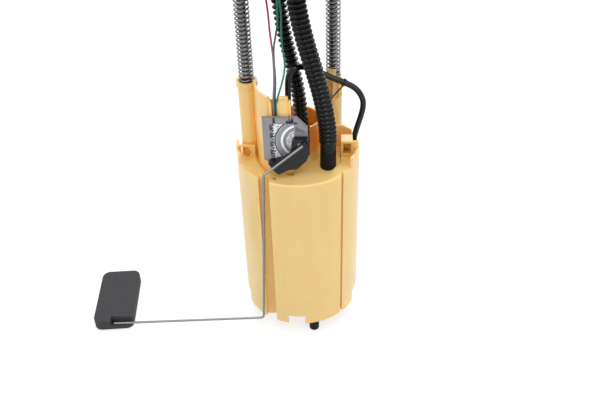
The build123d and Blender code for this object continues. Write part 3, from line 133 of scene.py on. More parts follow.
# %% Helpers for finishes
MM = 0.001
NOISE = {"From Min": 0.3, "From Max": 0.7}      # the range that soft noise mostly keeps to


def finish_start(name):
    """A new material with an empty tree, its tree, and the Object coordinates in metres."""
    made = bpy.data.materials.new(name)
    made.use_nodes = True
    tree = made.node_tree
    tree.nodes.clear()
    place = add(tree, "TexCoord").outputs["Object"]
    return made, tree, place


def finish_end(tree, surface):
    """Links a shader to the output."""
    add(tree, "OutputMaterial", {"Surface": surface.outputs[0]})


def blotches(tree, place, size_mm, stretch=(1, 1, 1), detail=3.0, seed=0.0):
    """Soft noise from 0 to 1: one over its size in mm gives its scale, a stretch below 1 draws it
    out along that axis, and a seed moves it elsewhere in the pattern."""
    scaled = add(tree, "Mapping", {"Vector": place, "Scale": stretch, "Location": (seed, seed, 0)})
    inputs = {"Vector": scaled.outputs[0], "Scale": 1 / (size_mm * MM), "Detail": detail}
    return add(tree, "TexNoise", {**inputs, "Roughness": 0.55}).outputs["Fac"]


def bumped(tree, height, depth_mm, strength=1.0, rounding_mm=0.0):
    """A normal tilted by a height of 0 to 1 that stands for depth_mm, over edges rounded by
    rounding_mm where that is given."""
    inputs = {"Height": height, "Distance": depth_mm * MM, "Strength": strength}
    if rounding_mm:
        inputs["Normal"] = add(tree, "Bevel", {"Radius": rounding_mm * MM}, samples=4).outputs[0]
    return add(tree, "Bump", inputs).outputs[0]


print("noise of 14 mm has scale", round(1 / (14 * MM), 1), "per metre")

# %% [markdown]
# ## Floor
# The module stands on a pale studio floor, a plain square at the level of its feet.  To the eye
# and in reflections it is almost white of itself, with enough plain diffuse in it to keep the
# object's shadow.  To all other light it is an ordinary pale floor, so it lights the object from
# below no more than a real one does.

# %% Floor
FLOOR_Z = cad_box[0][2]
FLOOR_HALF = 4.0                # metres


def seen_directly(tree):
    """1 for rays from the eye and for those mirrored or let through, and 0 for diffuse light: the
    largest of the three marks that the Light Path node gives."""
    rays = add(tree, "LightPath").outputs
    seen = rays["Is Camera Ray"]
    for kind in ("Is Glossy Ray", "Is Transmission Ray"):
        seen = add(tree, "Math", {0: seen, 1: rays[kind]}, operation="MAXIMUM").outputs[0]
    return seen


floor_mesh = bpy.data.meshes.new("studio_floor")
corners = [(x * FLOOR_HALF, y * FLOOR_HALF, FLOOR_Z) for x, y in ((-1, -1), (1, -1), (1, 1), (-1, 1))]
floor_mesh.from_pydata(corners, [], [(0, 1, 2, 3)])
floor = bpy.data.objects.new("studio_floor", floor_mesh)
bpy.context.scene.collection.objects.link(floor)

paper, tree, _ = finish_start("white_studio_paper")
plain = add(tree, "BsdfDiffuse", {"Color": "#E7E6E3"})
shadowed = add(tree, "BsdfDiffuse", {"Color": (0.33, 0.33, 0.33, 1)})
glow = add(tree, "Emission", {"Color": "#FFFFFF", "Strength": 0.72})
bright = add(tree, "AddShader", {0: shadowed.outputs[0], 1: glow.outputs[0]})
both = add(tree, "MixShader", {0: seen_directly(tree), 1: plain.outputs[0], 2: bright.outputs[0]})
finish_end(tree, both)
floor_mesh.materials.append(paper)
print("floor at", round(FLOOR_Z, 4))

# %% [markdown]
# ## Sky
# A plain white world surrounds the object.  The eye, mirrors and anything clear see it at full
# white.  It lights the object at half of that, which leaves the lamps something to shape.

# %% Sky
sky = bpy.data.worlds.new("studio")
sky.use_nodes = True
tree = sky.node_tree
tree.nodes.clear()
dim = add(tree, "Background", {"Color": "#FFFFFF", "Strength": 0.5})
white = add(tree, "Background", {"Color": "#FFFFFF", "Strength": 1.0})
both = add(tree, "MixShader", {0: seen_directly(tree), 1: dim.outputs[0], 2: white.outputs[0]})
add(tree, "OutputWorld", {"Surface": both.outputs[0]})
bpy.context.scene.world = sky
bpy.context.scene.view_settings.view_transform = "Standard"
print("sky lights at", dim.inputs["Strength"].default_value)

# %% [markdown]
# ## Lamps
# Square area lamps stand in for a studio's soft boxes: the larger the lamp, the softer the edge of
# its shadow.  One stands on each side of the eye, one hangs in front and one over the cover.  The
# last stands behind the object, because thin acetal walls let a little light through and glow.
# The levels are such that a colour comes out about as it is written.

# %% Soft boxes
MIDDLE = (0.0, 0.0, -0.2)       # what the lamps aim at, just below the reservoir's rim
SOFT_BOXES = (                  # name, place and side in metres, power in watts
    ("box_left", (-1.15, -0.75, 0.4), 1.0, 5.2),
    ("box_right", (1.2, -0.65, 0.35), 1.0, 5),
    ("box_front", (0.1, -0.75, 1.15), 0.8, 8),
    ("box_above", (0.1, 0.2, 1.4), 1.2, 10),
    ("box_behind", (0.25, 1.05, 0.75), 1.0, 9),
)


def soft_box(name, place, side, watts):
    """A square area lamp.  It shines down its own -Z, so it is tipped up from straight down by the
    heading's angle and then turned about Z until it faces the middle."""
    lamp = bpy.data.lights.new(name, "AREA")
    lamp.shape = "SQUARE"
    lamp.size = side
    lamp.energy = watts
    made = bpy.data.objects.new(name, lamp)
    bpy.context.scene.collection.objects.link(made)
    made.location = place
    x, y, z = np.array(MIDDLE) - np.array(place)
    made.rotation_euler = (math.atan2(math.hypot(x, y), -z), 0, math.atan2(-x, y))


for box in SOFT_BOXES:
    soft_box(*box)
print("lamps", len(SOFT_BOXES), "with", sum(box[3] for box in SOFT_BOXES), "W in all")

# %% [markdown]
# ## Lines
# A hose, a wire and a spring are one idea: a round section carried along a line.  The line of a
# hose is a NURBS spline, because a few control points then give one smooth curve with no kinks.
# Blender works the curve out, and its points are read back as an array.

# %% Lines
def smooth_line(route_mm):
    """Points of the NURBS line of order 3 whose control points are the route's, in metres."""
    curve = bpy.data.curves.new("route", "CURVE")
    curve.dimensions = "3D"
    spline = curve.splines.new("NURBS")
    spline.points.add(len(route_mm) - 1)
    control = np.ones((len(route_mm), 4))
    control[:, :3] = np.array(route_mm, float) * MM
    spline.points.foreach_set("co", control.ravel())
    spline.order_u = 3
    spline.use_endpoint_u = True
    spline.resolution_u = 24
    holder = bpy.data.objects.new("route", curve)
    read = bpy.data.meshes.new_from_object(holder)
    line = np.empty(len(read.vertices) * 3)
    read.vertices.foreach_get("co", line)
    bpy.data.meshes.remove(read)
    bpy.data.objects.remove(holder)
    bpy.data.curves.remove(curve)
    return line.reshape(-1, 3)


def run_lengths(line):
    """Length along the line at each point: the running sum of the steps between points."""
    return np.concatenate([[0.0], np.cumsum(np.linalg.norm(np.diff(line, axis=0), axis=1))])


def evenly(line, rows):
    """The line's points at equal steps of length, by linear interpolation, and those lengths."""
    at = run_lengths(line)
    steps = np.linspace(0, at[-1], rows)
    return np.stack([np.interp(steps, at, line[:, i]) for i in range(3)], axis=1), steps


print("a line of 3 across and 4 up is", run_lengths(np.array([[0.0, 0, 0], [3, 4, 0]]))[-1], "long")

# %% [markdown]
# ## Tubes
# The tube round a line is a grid of points, rows along and columns round, worked out as one array.
# A curve's own bevel would give one radius only, and a ridged hose needs a new one at every row.

# %% Tubes
def tube_grid(line, radii, columns, beside=(0, 1, 0)):
    """Rings round a line: point + radius * (A cos t + B sin t), with A across the line and a
    fixed side direction, and B across both, so that the rings never twist."""
    along = np.gradient(line, axis=0)
    along /= np.linalg.norm(along, axis=1, keepdims=True)
    first = np.cross(np.array(beside, float), along)
    first /= np.linalg.norm(first, axis=1, keepdims=True)
    second = np.cross(along, first)
    turn = np.linspace(0, 2 * np.pi, columns, endpoint=False)[None, :, None]
    spokes = first[:, None, :] * np.cos(turn) + second[:, None, :] * np.sin(turn)
    return line[:, None, :] + np.broadcast_to(radii, len(line))[:, None, None] * spokes


def skin(name, grid, lengths):
    """A mesh object of a closed-round grid: quads (row, column), (row, column + 1), (row + 1,
    column + 1), (row + 1, column), and a fan from a middle point over each end.  UV is the share
    of the turn and the length in metres."""
    rows, columns = grid.shape[:2]
    index = np.arange(rows * columns).reshape(rows, columns)
    beyond = np.roll(index, -1, axis=1)
    quads = np.stack([index[:-1], beyond[:-1], beyond[1:], index[1:]], axis=-1).reshape(-1, 4)
    low_end, high_end = rows * columns, rows * columns + 1
    low_fan = np.stack([np.full(columns, low_end), beyond[0], index[0]], axis=-1)
    high_fan = np.stack([np.full(columns, high_end), index[-1], beyond[-1]], axis=-1)
    points = np.concatenate([grid.reshape(-1, 3), [grid[0].mean(axis=0), grid[-1].mean(axis=0)]])
    faces = quads.tolist() + low_fan.tolist() + high_fan.tolist()

    share = np.arange(columns + 1) / columns
    uv = np.empty((rows - 1, columns, 4, 2))
    uv[:, :, (0, 3), 0] = share[None, :-1, None]
    uv[:, :, (1, 2), 0] = share[None, 1:, None]
    uv[:, :, :2, 1] = lengths[:-1, None, None]
    uv[:, :, 2:, 1] = lengths[1:, None, None]
    ends = np.repeat([[0.5, lengths[0]], [0.5, lengths[-1]]], 3 * columns, axis=0)

    mesh = bpy.data.meshes.new(name)
    mesh.from_pydata(points.tolist(), [], faces)
    marks = np.concatenate([uv.reshape(-1, 2), ends])
    mesh.uv_layers.new(name="along").data.foreach_set("uv", marks.ravel())
    mesh.polygons.foreach_set("use_smooth", np.arange(len(faces)) < len(quads))
    made = bpy.data.objects.new(name, mesh)
    bpy.context.scene.collection.objects.link(made)
    return made


print("tube of a metre with 2 rows:", tube_grid(np.array([[0, 0, 0], [0, 0, 1.0]]), 0.01, 8).shape)

# %% [markdown]
# ## Where the hoses run
# Both hoses hang from ports under the cover.  The supply hose ends on the pump's outlet, down
# inside the sleeve, and the return hose on a cuff in the deck.  The control points lie on their
# middle lines, from the top down, in mm.

# %% Hose routes
SUPPLY_ROUTE = (
    (-14.0, 0.0, 3.0),
    (-14.0, 0.0, -28.0),
    (-9.3, 0.0, -70.7),
    (-4.4, 0.0, -92.5),
    (2.0, 0.0, -127.7),
    (4.2, 0.0, -160.0),
    (5.0, 0.0, -190.0),
    (5.0, 0.0, -226.0),
)
RETURN_ROUTE = (
    (1.5, -25.0, 3.0),
    (1.5, -25.0, -22.0),
    (7.9, -25.0, -59.0),
    (16.5, -25.0, -91.0),
    (22.3, -25.0, -113.6),
    (26.3, -25.0, -135.0),
    (28.9, -25.0, -155.0),
    (28.9, -25.0, -174.5),
)
print("hoses from", SUPPLY_ROUTE[0][2], "down to", SUPPLY_ROUTE[-1][2], "and", RETURN_ROUTE[-1][2], "mm")

# %% [markdown]
# ## Corrugated hoses
# Both fuel hoses are convoluted nylon tube: thin black plastic blown into rings, so that it bends
# without closing.  The rings of the supply hose are deep and narrow, and those of the wider return
# hose are shallow and broad.  A ring is a wave in the radius along the line, so the ridge is real
# geometry and shows in the outline, where a bump would leave the edge smooth.

# %% Hoses
HOSE_COLUMNS = 36
RING_ROWS = 14                  # rows of points to a ring
PLAIN_END = 9.0                 # mm of hose with no rings, pushed on its fitting
PLAIN_WAVE = 0.35               # how far up from groove to ridge the plain ends stand


def ringed(lengths, outer, depth, pitch, sharp):
    """Radius of a convoluted tube in metres: outer - depth * (1 - wave ** sharp), where the wave
    goes from 0 in a groove to 1 on a ridge each pitch, and keeps one level over the plain ends."""
    wave = 0.5 - 0.5 * np.cos(2 * np.pi * lengths / (pitch * MM))
    inside = np.minimum(lengths, lengths[-1] - lengths) / MM
    wave = np.where(inside > PLAIN_END, wave, PLAIN_WAVE)
    return (outer - depth * (1 - wave**sharp)) * MM


def hose(name, route, outer, depth, pitch, sharp):
    """A convoluted hose along a route, with sizes in mm: its length over the pitch gives the
    rings, and each ring has its rows."""
    line = smooth_line(route)
    rows = int(run_lengths(line)[-1] / (pitch * MM) * RING_ROWS) + 1
    line, lengths = evenly(line, rows)
    radii = ringed(lengths, outer, depth, pitch, sharp)
    made = skin(name, tube_grid(line, radii, HOSE_COLUMNS), lengths)
    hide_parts(name.replace("_ringed", ""))
    print(name, "length", round(lengths[-1], 4), "rings", int(lengths[-1] / (pitch * MM)))
    return made


supply_hose = hose("supply_hose_ringed", SUPPLY_ROUTE, outer=6.75, depth=2.4, pitch=5.07, sharp=1.8)
return_hose = hose("return_hose_ringed", RETURN_ROUTE, outer=8.25, depth=2.0, pitch=4.53, sharp=0.5)

# %% [markdown]
# ## Where the tube and the wires run
# The jet tube leaves the pump, loops over between the hoses and goes down through the deck to the
# floor.  Three wires hang from the connector to the sender, with enough slack for the reservoir to
# slide, and two more go down to the pump.  Points are in mm, the wires' from the top down.

# %% Tube and wire routes
JET_ROUTE = (
    (-8.0, -9.0, -226.0),
    (-8.0, -9.0, -198.0),
    (-7.6, -12.6, -172.0),
    (-7.0, -16.3, -148.0),
    (-6.9, -16.5, -123.4),
    (-6.3, -16.5, -103.0),
    (-2.4, -15.0, -96.8),
    (4.4, -12.0, -95.0),
    (15.6, -8.0, -99.6),
    (27.0, -4.0, -108.6),
    (41.5, 0.0, -116.8),
    (54.4, 2.0, -124.4),
    (61.0, 3.4, -136.0),
    (61.7, 4.0, -145.5),
    (59.2, 4.0, -157.0),
    (55.4, 4.0, -170.5),
    (53.0, 4.0, -183.0),
    (53.0, 4.0, -212.0),
    (52.6, 4.0, -254.0),
    (52.4, 4.0, -305.0),
    (52.4, 4.0, -340.5),
)
PINK_ROUTE = (
    (-23.0, -15.0, -8.0),
    (-23.0, -15.0, -22.0),
    (-20.8, -16.0, -45.1),
    (-20.3, -17.5, -57.9),
    (-19.3, -19.5, -67.8),
    (-17.9, -23.0, -79.9),
    (-17.3, -28.5, -92.2),
    (-17.6, -33.6, -103.3),
    (-18.5, -35.7, -113.9),
    (-18.9, -35.7, -136.0),
)
GREY_ROUTE = (
    (-14.0, -15.0, -8.0),
    (-14.0, -15.0, -18.0),
    (-13.3, -12.8, -31.0),
    (-13.3, -12.8, -50.5),
    (-14.9, -14.6, -62.9),
    (-17.6, -18.0, -74.2),
    (-17.4, -22.4, -86.0),
    (-16.4, -27.5, -98.2),
    (-16.6, -31.6, -108.2),
    (-17.6, -33.6, -116.6),
    (-17.6, -33.6, -136.0),
)
TEAL_ROUTE = (
    (-15.0, -20.0, -8.0),
    (-15.0, -20.0, -16.0),
    (-11.4, -15.2, -30.0),
    (-10.0, -14.6, -46.0),
    (-10.7, -16.0, -59.7),
    (-10.1, -19.0, -74.7),
    (-8.0, -24.0, -85.3),
    (-8.4, -28.6, -92.6),
    (-10.5, -32.6, -100.3),
    (-13.0, -35.0, -108.2),
    (-16.3, -35.7, -117.5),
    (-16.3, -35.7, -136.0),
)
LIVE_ROUTE = (
    (-26.0, -15.0, -8.0),
    (-26.0, -15.0, -15.0),
    (-25.0, -9.0, -24.0),
    (-21.0, 3.0, -34.0),
    (-14.0, 9.5, -48.0),
    (-8.6, 10.0, -72.0),
    (-3.6, 10.0, -96.0),
    (1.0, 10.2, -122.0),
    (2.2, 10.4, -150.0),
    (1.4, 11.4, -184.0),
    (1.0, 12.0, -221.0),
)
GROUND_ROUTE = (
    (-29.0, -15.0, -8.0),
    (-29.0, -15.0, -15.0),
    (-28.0, -8.0, -25.0),
    (-24.0, 5.0, -36.0),
    (-15.0, 12.2, -50.0),
    (-8.0, 12.8, -74.0),
    (-2.4, 12.8, -98.0),
    (3.0, 12.8, -124.0),
    (5.6, 12.6, -152.0),
    (8.0, 12.2, -184.0),
    (9.0, 12.0, -221.0),
)
print("wires start at", PINK_ROUTE[0][2], "mm and reach the pump at", LIVE_ROUTE[-1][2], "mm")

# %% [markdown]
# ## Jet tube and wires
# The jet tube is plain extruded nylon that carries a little of the pump's flow down to the jet in
# the floor.  The wires are PVC-covered copper.  Their one radius could be a curve's bevel, but the
# same tube function also gives them the length along the wire, which the covers' colours need.

# %% Jet tube and wires
WIRE_R = 0.85                   # mm
JET_TUBE_R = 2.8


def plain_tube(name, node, route, radius, step, columns, finish, **facts):
    """A smooth tube or wire of one radius in mm, with a ring of points every step in mm."""
    line = smooth_line(route)
    line, lengths = evenly(line, int(run_lengths(line)[-1] / (step * MM)) + 2)
    made = skin(name, tube_grid(line, radius * MM, columns), lengths)
    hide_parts(node)
    print(name, "length", round(lengths[-1], 4))
    return made


jet_tube = plain_tube(
    "jet_tube_smooth", "jet_tube", JET_ROUTE, JET_TUBE_R, 1.5, 20, "black_nylon", stiffness="stiff"
)
wires = {}
for name, route, finish in (
    ("wire_pink", PINK_ROUTE, "pink_pvc"),
    ("wire_grey", GREY_ROUTE, "grey_pvc"),
    ("wire_teal", TEAL_ROUTE, "teal_pvc"),
    ("pump_wire_live", LIVE_ROUTE, "pink_pvc"),
    ("pump_wire_ground", GROUND_ROUTE, "grey_pvc"),
):
    wires[name] = plain_tube(
        name + "_covered", name, route, WIRE_R, 1.0, 12, finish, stiffness="limp", lay="hanging"
    )

# %% [markdown]
# ## Coil springs
# Each guide rod carries a compression spring of round drawn wire, which presses the reservoir to
# the tank's floor.  The first and last turns lie close and the rest are evenly open.  The coil is
# a helix, so its line is worked out directly, and the same tube function puts the wire round it.

# %% Springs
SPRING_R = 7.0                  # mm, over the wire
SPRING_WIRE = 1.6               # mm, the wire's diameter
SPRING_LOW = -121.2             # mm, the heights of both ends
SPRING_HIGH = -3.0
SPRING_PITCH = 3.97
CLOSE_TURNS = 1.5               # at each end
TIGHTER_BELOW = 0.05            # share by which the lowest open turns are closer
TURN_ROWS = 26                  # rings of points to a turn
COIL_COLUMNS = 8
ROD_AXES = {"left": (-44.7, 0.0), "right": (33.5, 19.0)}


def coil_line(axis):
    """A helix in metres: the angle grows evenly and the height follows the turns, by one wire a
    turn near each end and evenly between, a little closer in the lower half."""
    span = SPRING_HIGH - SPRING_LOW - SPRING_WIRE
    open_turns = (span - 2 * CLOSE_TURNS * SPRING_WIRE) / SPRING_PITCH
    turns = open_turns + 2 * CLOSE_TURNS
    steps = np.linspace(0, turns, int(turns * TURN_ROWS))
    knots = [0, CLOSE_TURNS, turns - CLOSE_TURNS, turns]
    heights = [0, CLOSE_TURNS * SPRING_WIRE, span - CLOSE_TURNS * SPRING_WIRE, span]
    height = np.interp(steps, knots, heights)
    share = height / span
    height -= TIGHTER_BELOW * span * share * (1 - share)
    middle_r = SPRING_R - SPRING_WIRE / 2
    angle = 2 * np.pi * steps
    across = np.stack([np.cos(angle), np.sin(angle)], axis=1) * middle_r + np.array(axis)
    return np.column_stack([across, height + SPRING_LOW + SPRING_WIRE / 2]) * MM


springs = {}
for side, axis in ROD_AXES.items():
    line = coil_line(axis)
    lengths = run_lengths(line)
    grid = tube_grid(line, SPRING_WIRE / 2 * MM, COIL_COLUMNS, beside=(0, 0, 1))
    coil = skin(f"spring_{side}_coil", grid, lengths)
    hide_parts(f"spring_{side}")
    springs[side] = coil
    print(coil.name, "wire length", round(lengths[-1], 3))

# %% [markdown]
# ## Bodies
# The hoses, wires and springs hold the sliding reservoir to the fixed cover.  Here each has its
# transform baked into its mesh, and the table gives the heights of its two ends.  The jet tube is
# wholly on the reservoir and rides there.  Nothing but a straight slide parts the two bodies.

# %% Blends and rides
BLENDS = [                      # piece, heights in mm where it leaves one body and joins the other
    (supply_hose, -165, -12),
    (return_hose, -160, -12),
    (wires["wire_pink"], -112, -16),
    (wires["wire_grey"], -112, -16),
    (wires["wire_teal"], -112, -16),
    (wires["pump_wire_live"], -150, -16),
    (wires["pump_wire_ground"], -150, -16),
    (springs["left"], SPRING_LOW, SPRING_HIGH),
    (springs["right"], SPRING_LOW, SPRING_HIGH),
]
for piece, low_z, high_z in BLENDS:
    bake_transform(piece)
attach(jet_tube, "reservoir")
print("blended pieces", len(BLENDS))

# %% [markdown]
# ## The sleeve's walls
# The pump stands in a tall sleeve of the retainer.  Its thin walls are painted a deeper orange
# inside, a painted glow for light that has crossed more plastic, and their back is painted lighter,
# a painted highlight where light falls from above.  The sleeve is one moulding with the rest, so a
# second material would need its faces picked out by hand.  A mask from the Object coordinates finds
# the walls by their distance from the pump's axis, and stays right if the mesh changes.

# %% Sleeve mask
PUMP_AXIS_X = 5.0               # mm, where the sleeve's axis stands; its Y is 0
SLEEVE_R = 22.2                 # mm, its outer radius
SLEEVE_FOOT = -180.0            # mm, the height of the deck that it rises from
SLEEVE_FADE = (0.8, 0.2)        # mm outside the radius where the mask starts and where it is full
BACK_FADE = (-10, 4)            # mm in Y over which the front of the sleeve gives way to its back
BACK_REACH = 2                  # mm added to the distance at the back


def painted_glow_masks(tree, place):
    """Two masks for painted light: 1 on the sleeve's walls above its foot, where the painted glow
    goes, and 1 toward its back, which is painted lighter.  The first takes the distance from the
    pump's axis, plus 2 mm at the back, so that the outer back stays out."""
    apart = add(tree, "SeparateXYZ", {0: place}).outputs
    front, rear = (y * MM for y in BACK_FADE)
    fade = {"Value": apart["Y"], "From Min": front, "From Max": rear}
    back = add(tree, "MapRange", fade).outputs[0]
    across = add(tree, "Math", {0: apart["X"], 1: PUMP_AXIS_X * MM}, operation="SUBTRACT").outputs[0]
    flat = add(tree, "CombineXYZ", {0: across, 1: apart["Y"]})
    radius = add(tree, "VectorMath", {0: flat.outputs[0]}, operation="LENGTH").outputs["Value"]
    reach = add(tree, "Math", {0: back, 1: BACK_REACH * MM, 2: radius}, operation="MULTIPLY_ADD")
    start, full = ((SLEEVE_R + gap) * MM for gap in SLEEVE_FADE)
    near = add(tree, "MapRange", {"Value": reach.outputs[0], "From Min": start, "From Max": full})
    rise = {"Value": apart["Z"], "From Min": (SLEEVE_FOOT - 5) * MM, "From Max": SLEEVE_FOOT * MM}
    high = add(tree, "MapRange", rise)
    both = add(tree, "Math", {0: near.outputs[0], 1: high.outputs[0]}, operation="MULTIPLY")
    return both.outputs[0], back


print("sleeve mask within", SLEEVE_R + SLEEVE_FADE[0], "mm of the pump's axis")

# %% [markdown]
# ## Tan acetal
# The reservoir, its retainer and its floor are injection-moulded acetal (POM), a stiff waxy plastic
# that fuel doesn't attack.  The eye sees a satin skin, faint upright flow marks from the melt, a
# very fine grain from the spark-eroded mould, soft edges, and deep orange in the recesses, where
# light bounces from wall to wall.  A few bounces would give too little of it, so that orange is
# painted bounce light: an Ambient Occlusion node finds the recesses and paints the colour there.
# Some light enters the plastic, which softens the shadows.

# %% Acetal
FLOW_MM, CLOUD_MM, GRAIN_MM = 14, 45, 0.5       # widths of flow marks, broad clouds and grain
# The reach and the sky shares below place the painted bounce light in the recesses.
RECESS_REACH = 11.0             # mm within which a wall closes off the sky of another
OPEN_SKY = (0.2, 0.75)          # shares of open sky: all recess tone below, none above
# Painted highlight: the sleeve's inner back wall, lit from above, takes this lighter tone.
PAINTED_LIT_BACK = "#FFC850"
# The third tan tone is painted bounce light, the deep orange put into the recesses.
TAN_TONES = ("#F1CE89", "#E9BF73", "#FFC052")   # light, dark and recess


def acetal(name, light, dark, painted_bounce, sleeve=None):
    """Moulded acetal between two tones: flow marks times clouds, plus a little, gives the share of
    the light one.  Painted bounce light: the colour goes to the recess tone where near walls close
    off the sky.  Painted glow: where a sleeve tone is given, the colour goes to it on the sleeve's
    walls, and to a lighter painted highlight toward their back."""
    made, tree, place = finish_start(name)
    flow = blotches(tree, place, FLOW_MM, stretch=(1, 1, 0.22), detail=2.0)
    cloud = blotches(tree, place, CLOUD_MM, detail=2.0, seed=3.0)
    grain = blotches(tree, place, GRAIN_MM, detail=1.0)
    tone = add(tree, "Math", {0: flow, 1: cloud, 2: 0.12}, operation="MULTIPLY_ADD").outputs[0]
    own = add(tree, "Mix", {FACTOR: tone, LOW: dark, HIGH: light}, data_type="RGBA").outputs[MIXED]
    open_sky = add(tree, "AmbientOcclusion", {"Distance": RECESS_REACH * MM}, samples=6).outputs["AO"]
    closed, free = OPEN_SKY
    clear = add(tree, "MapRange", {"Value": open_sky, "From Min": closed, "From Max": free}).outputs[0]
    # Painted bounce light: the recess tone where near walls close off the sky.
    with_painted_light = add(tree, "Mix", {FACTOR: clear, LOW: painted_bounce, HIGH: own}, data_type="RGBA").outputs[MIXED]
    # Painted glow on the sleeve's walls, painted lighter toward their back.
    if sleeve:
        painted_glow_walls, back = painted_glow_masks(tree, place)
        inner = add(tree, "Mix", {FACTOR: back, LOW: sleeve, HIGH: PAINTED_LIT_BACK}, data_type="RGBA")
        tones = {FACTOR: painted_glow_walls, LOW: with_painted_light, HIGH: inner.outputs[MIXED]}
        with_painted_light = add(tree, "Mix", tones, data_type="RGBA").outputs[MIXED]
    satin = add(tree, "MapRange", {"Value": flow, **NOISE, "To Min": 0.36, "To Max": 0.46})
    surface = add(
        tree,
        "BsdfPrincipled",
        {
            "Base Color": with_painted_light,
            "Roughness": satin.outputs[0],
            "IOR": 1.48,
            "Coat Weight": 0.6,
            "Coat Roughness": 0.3,
            "Subsurface Weight": 0.6,
            "Subsurface Radius": (1.0, 0.45, 0.15),
            "Subsurface Scale": 0.006,
            "Normal": bumped(tree, grain, 0.02, 0.5, rounding_mm=0.45),
        },
    )
    finish_end(tree, surface)
    return made


tan = acetal("acetal_tan", *TAN_TONES)
# The retainer's sleeve walls get a painted glow, a deep orange for light through the plastic.
tan_painted_glow = acetal("acetal_tan_sleeve", *TAN_TONES, sleeve="#FF9535")
print("made", tan.name, "with", len(tan.node_tree.nodes), "nodes, and", tan_painted_glow.name)

# %% [markdown]
# ## A printed or dark patch
# The sender's bracket has small dark spring contacts, and its card a crimped edge.  Both lie flat
# on a face that looks to the front, so a mask in X and Z draws them as well as more solids would.

# %% Rectangle mask
SOFT_EDGE = 0.1                 # mm on each side of an edge over which a mask fades


def rectangle(tree, place, x, z, width, height):
    """1 within a rectangle in mm seen from the front, else 0: the product of two bands, each 1
    where the distance from its middle is under half its width."""
    apart = add(tree, "SeparateXYZ", {0: place}).outputs
    bands = []
    for side, middle, size in (("X", x, width), ("Z", z, height)):
        off = add(tree, "Math", {0: apart[side], 1: middle * MM}, operation="SUBTRACT").outputs[0]
        off = add(tree, "Math", {0: off}, operation="ABSOLUTE").outputs[0]
        out, inside = (size / 2 + SOFT_EDGE) * MM, (size / 2 - SOFT_EDGE) * MM
        band = add(tree, "MapRange", {"Value": off, "From Min": out, "From Max": inside})
        bands.append(band.outputs[0])
    return add(tree, "Math", {0: bands[0], 1: bands[1]}, operation="MULTIPLY").outputs[0]


CONTACT_LANDS = (               # x and z of the middle, width and height, in mm, on the bracket
    (-18.4, -134.0, 1.4, 5.6),
    (-5.0, -134.6, 6.2, 3.4),
    (-5.0, -131.8, 1.2, 2.4),
)
print("contact lands", len(CONTACT_LANDS))

# %% [markdown]
# ## Nylon, rubber and other dull plastics
# Nylon hose has a low sheen from the extruder, and its ridges catch thin highlights.  Moulded
# glass-filled nylon is a little rougher.  Rubber is matt and greyer, with a fine tooth, and the
# sintered magnets are as dull.  All are one idea: two near tones, a roughness and a fine grain.

# %% Nylon and rubber
MOULD_CLOUD_MM = 9              # width of the blotches in a dark moulding
LAND_TONE = "#161517"


def black_plastic(
    name, light, dark, rough, grain_mm, grain_depth, rounding_mm=0.0, sheen=0.5, contacts=()
):
    """A moulded plastic or rubber: two near tones in blotches, roughness, grain in mm, the level
    of its mirror sheen, 0.5 for a clean skin and less for one dulled by fuel, and dark contact
    lands as rectangles (x, z, width, height) in mm."""
    made, tree, place = finish_start(name)
    cloud = blotches(tree, place, MOULD_CLOUD_MM)
    grain = blotches(tree, place, grain_mm, detail=2.0)
    tone = add(tree, "Mix", {FACTOR: cloud, LOW: dark, HIGH: light}, data_type="RGBA").outputs[MIXED]
    for land in contacts:
        patch = {FACTOR: rectangle(tree, place, *land), LOW: tone, HIGH: LAND_TONE}
        tone = add(tree, "Mix", patch, data_type="RGBA").outputs[MIXED]
    uneven = {"Value": cloud, **NOISE, "To Min": rough - 0.05, "To Max": rough + 0.07}
    surface = add(
        tree,
        "BsdfPrincipled",
        {
            "Base Color": tone,
            "Roughness": add(tree, "MapRange", uneven).outputs[0],
            "IOR": 1.52,
            "Specular IOR Level": sheen,
            "Normal": bumped(tree, grain, grain_depth, 0.6, rounding_mm),
        },
    )
    finish_end(tree, surface)
    return made


hose_nylon = black_plastic("extruded_nylon", "#0A0A0C", "#030304", 0.12, 0.6, 0.012, sheen=0.2)
tube_nylon = black_plastic("smooth_nylon", "#0A0A0C", "#050506", 0.1, 0.6, 0.005, sheen=0.32)
moulded_nylon = black_plastic("moulded_nylon", "#121113", "#070708", 0.26, 0.5, 0.02, 0.3, sheen=0.35)
rubber = black_plastic("moulded_rubber", "#101012", "#080809", 0.5, 0.4, 0.03, 0.5, sheen=0.15)
ferrite = black_plastic("sintered_ferrite", "#3A3A3D", "#262629", 0.6, 0.3, 0.03)
grey_bracket = black_plastic(
    "moulded_pbt_grey", "#97949B", "#7B787E", 0.42, 0.5, 0.02, 0.25, contacts=CONTACT_LANDS
)
green_rubber = black_plastic("green_seal_rubber", "#3B5C3F", "#2A4630", 0.6, 0.4, 0.03, 0.5)
print("made", hose_nylon.name, moulded_nylon.name, rubber.name, grey_bracket.name, "and three more")

# %% [markdown]
# ## Float foam
# The float is a slab of closed-cell nitrile foam, cut from a block, so its skin is an open pattern
# of cut cells.  A Voronoi pattern has just that shape: each point's distance from the nearest cell
# middle is the depth of the cell, and its rims come out lighter.

# %% Foam
CELL_MM = 0.8                   # a cut cell's width
FOAM_CLOUD_MM = 12


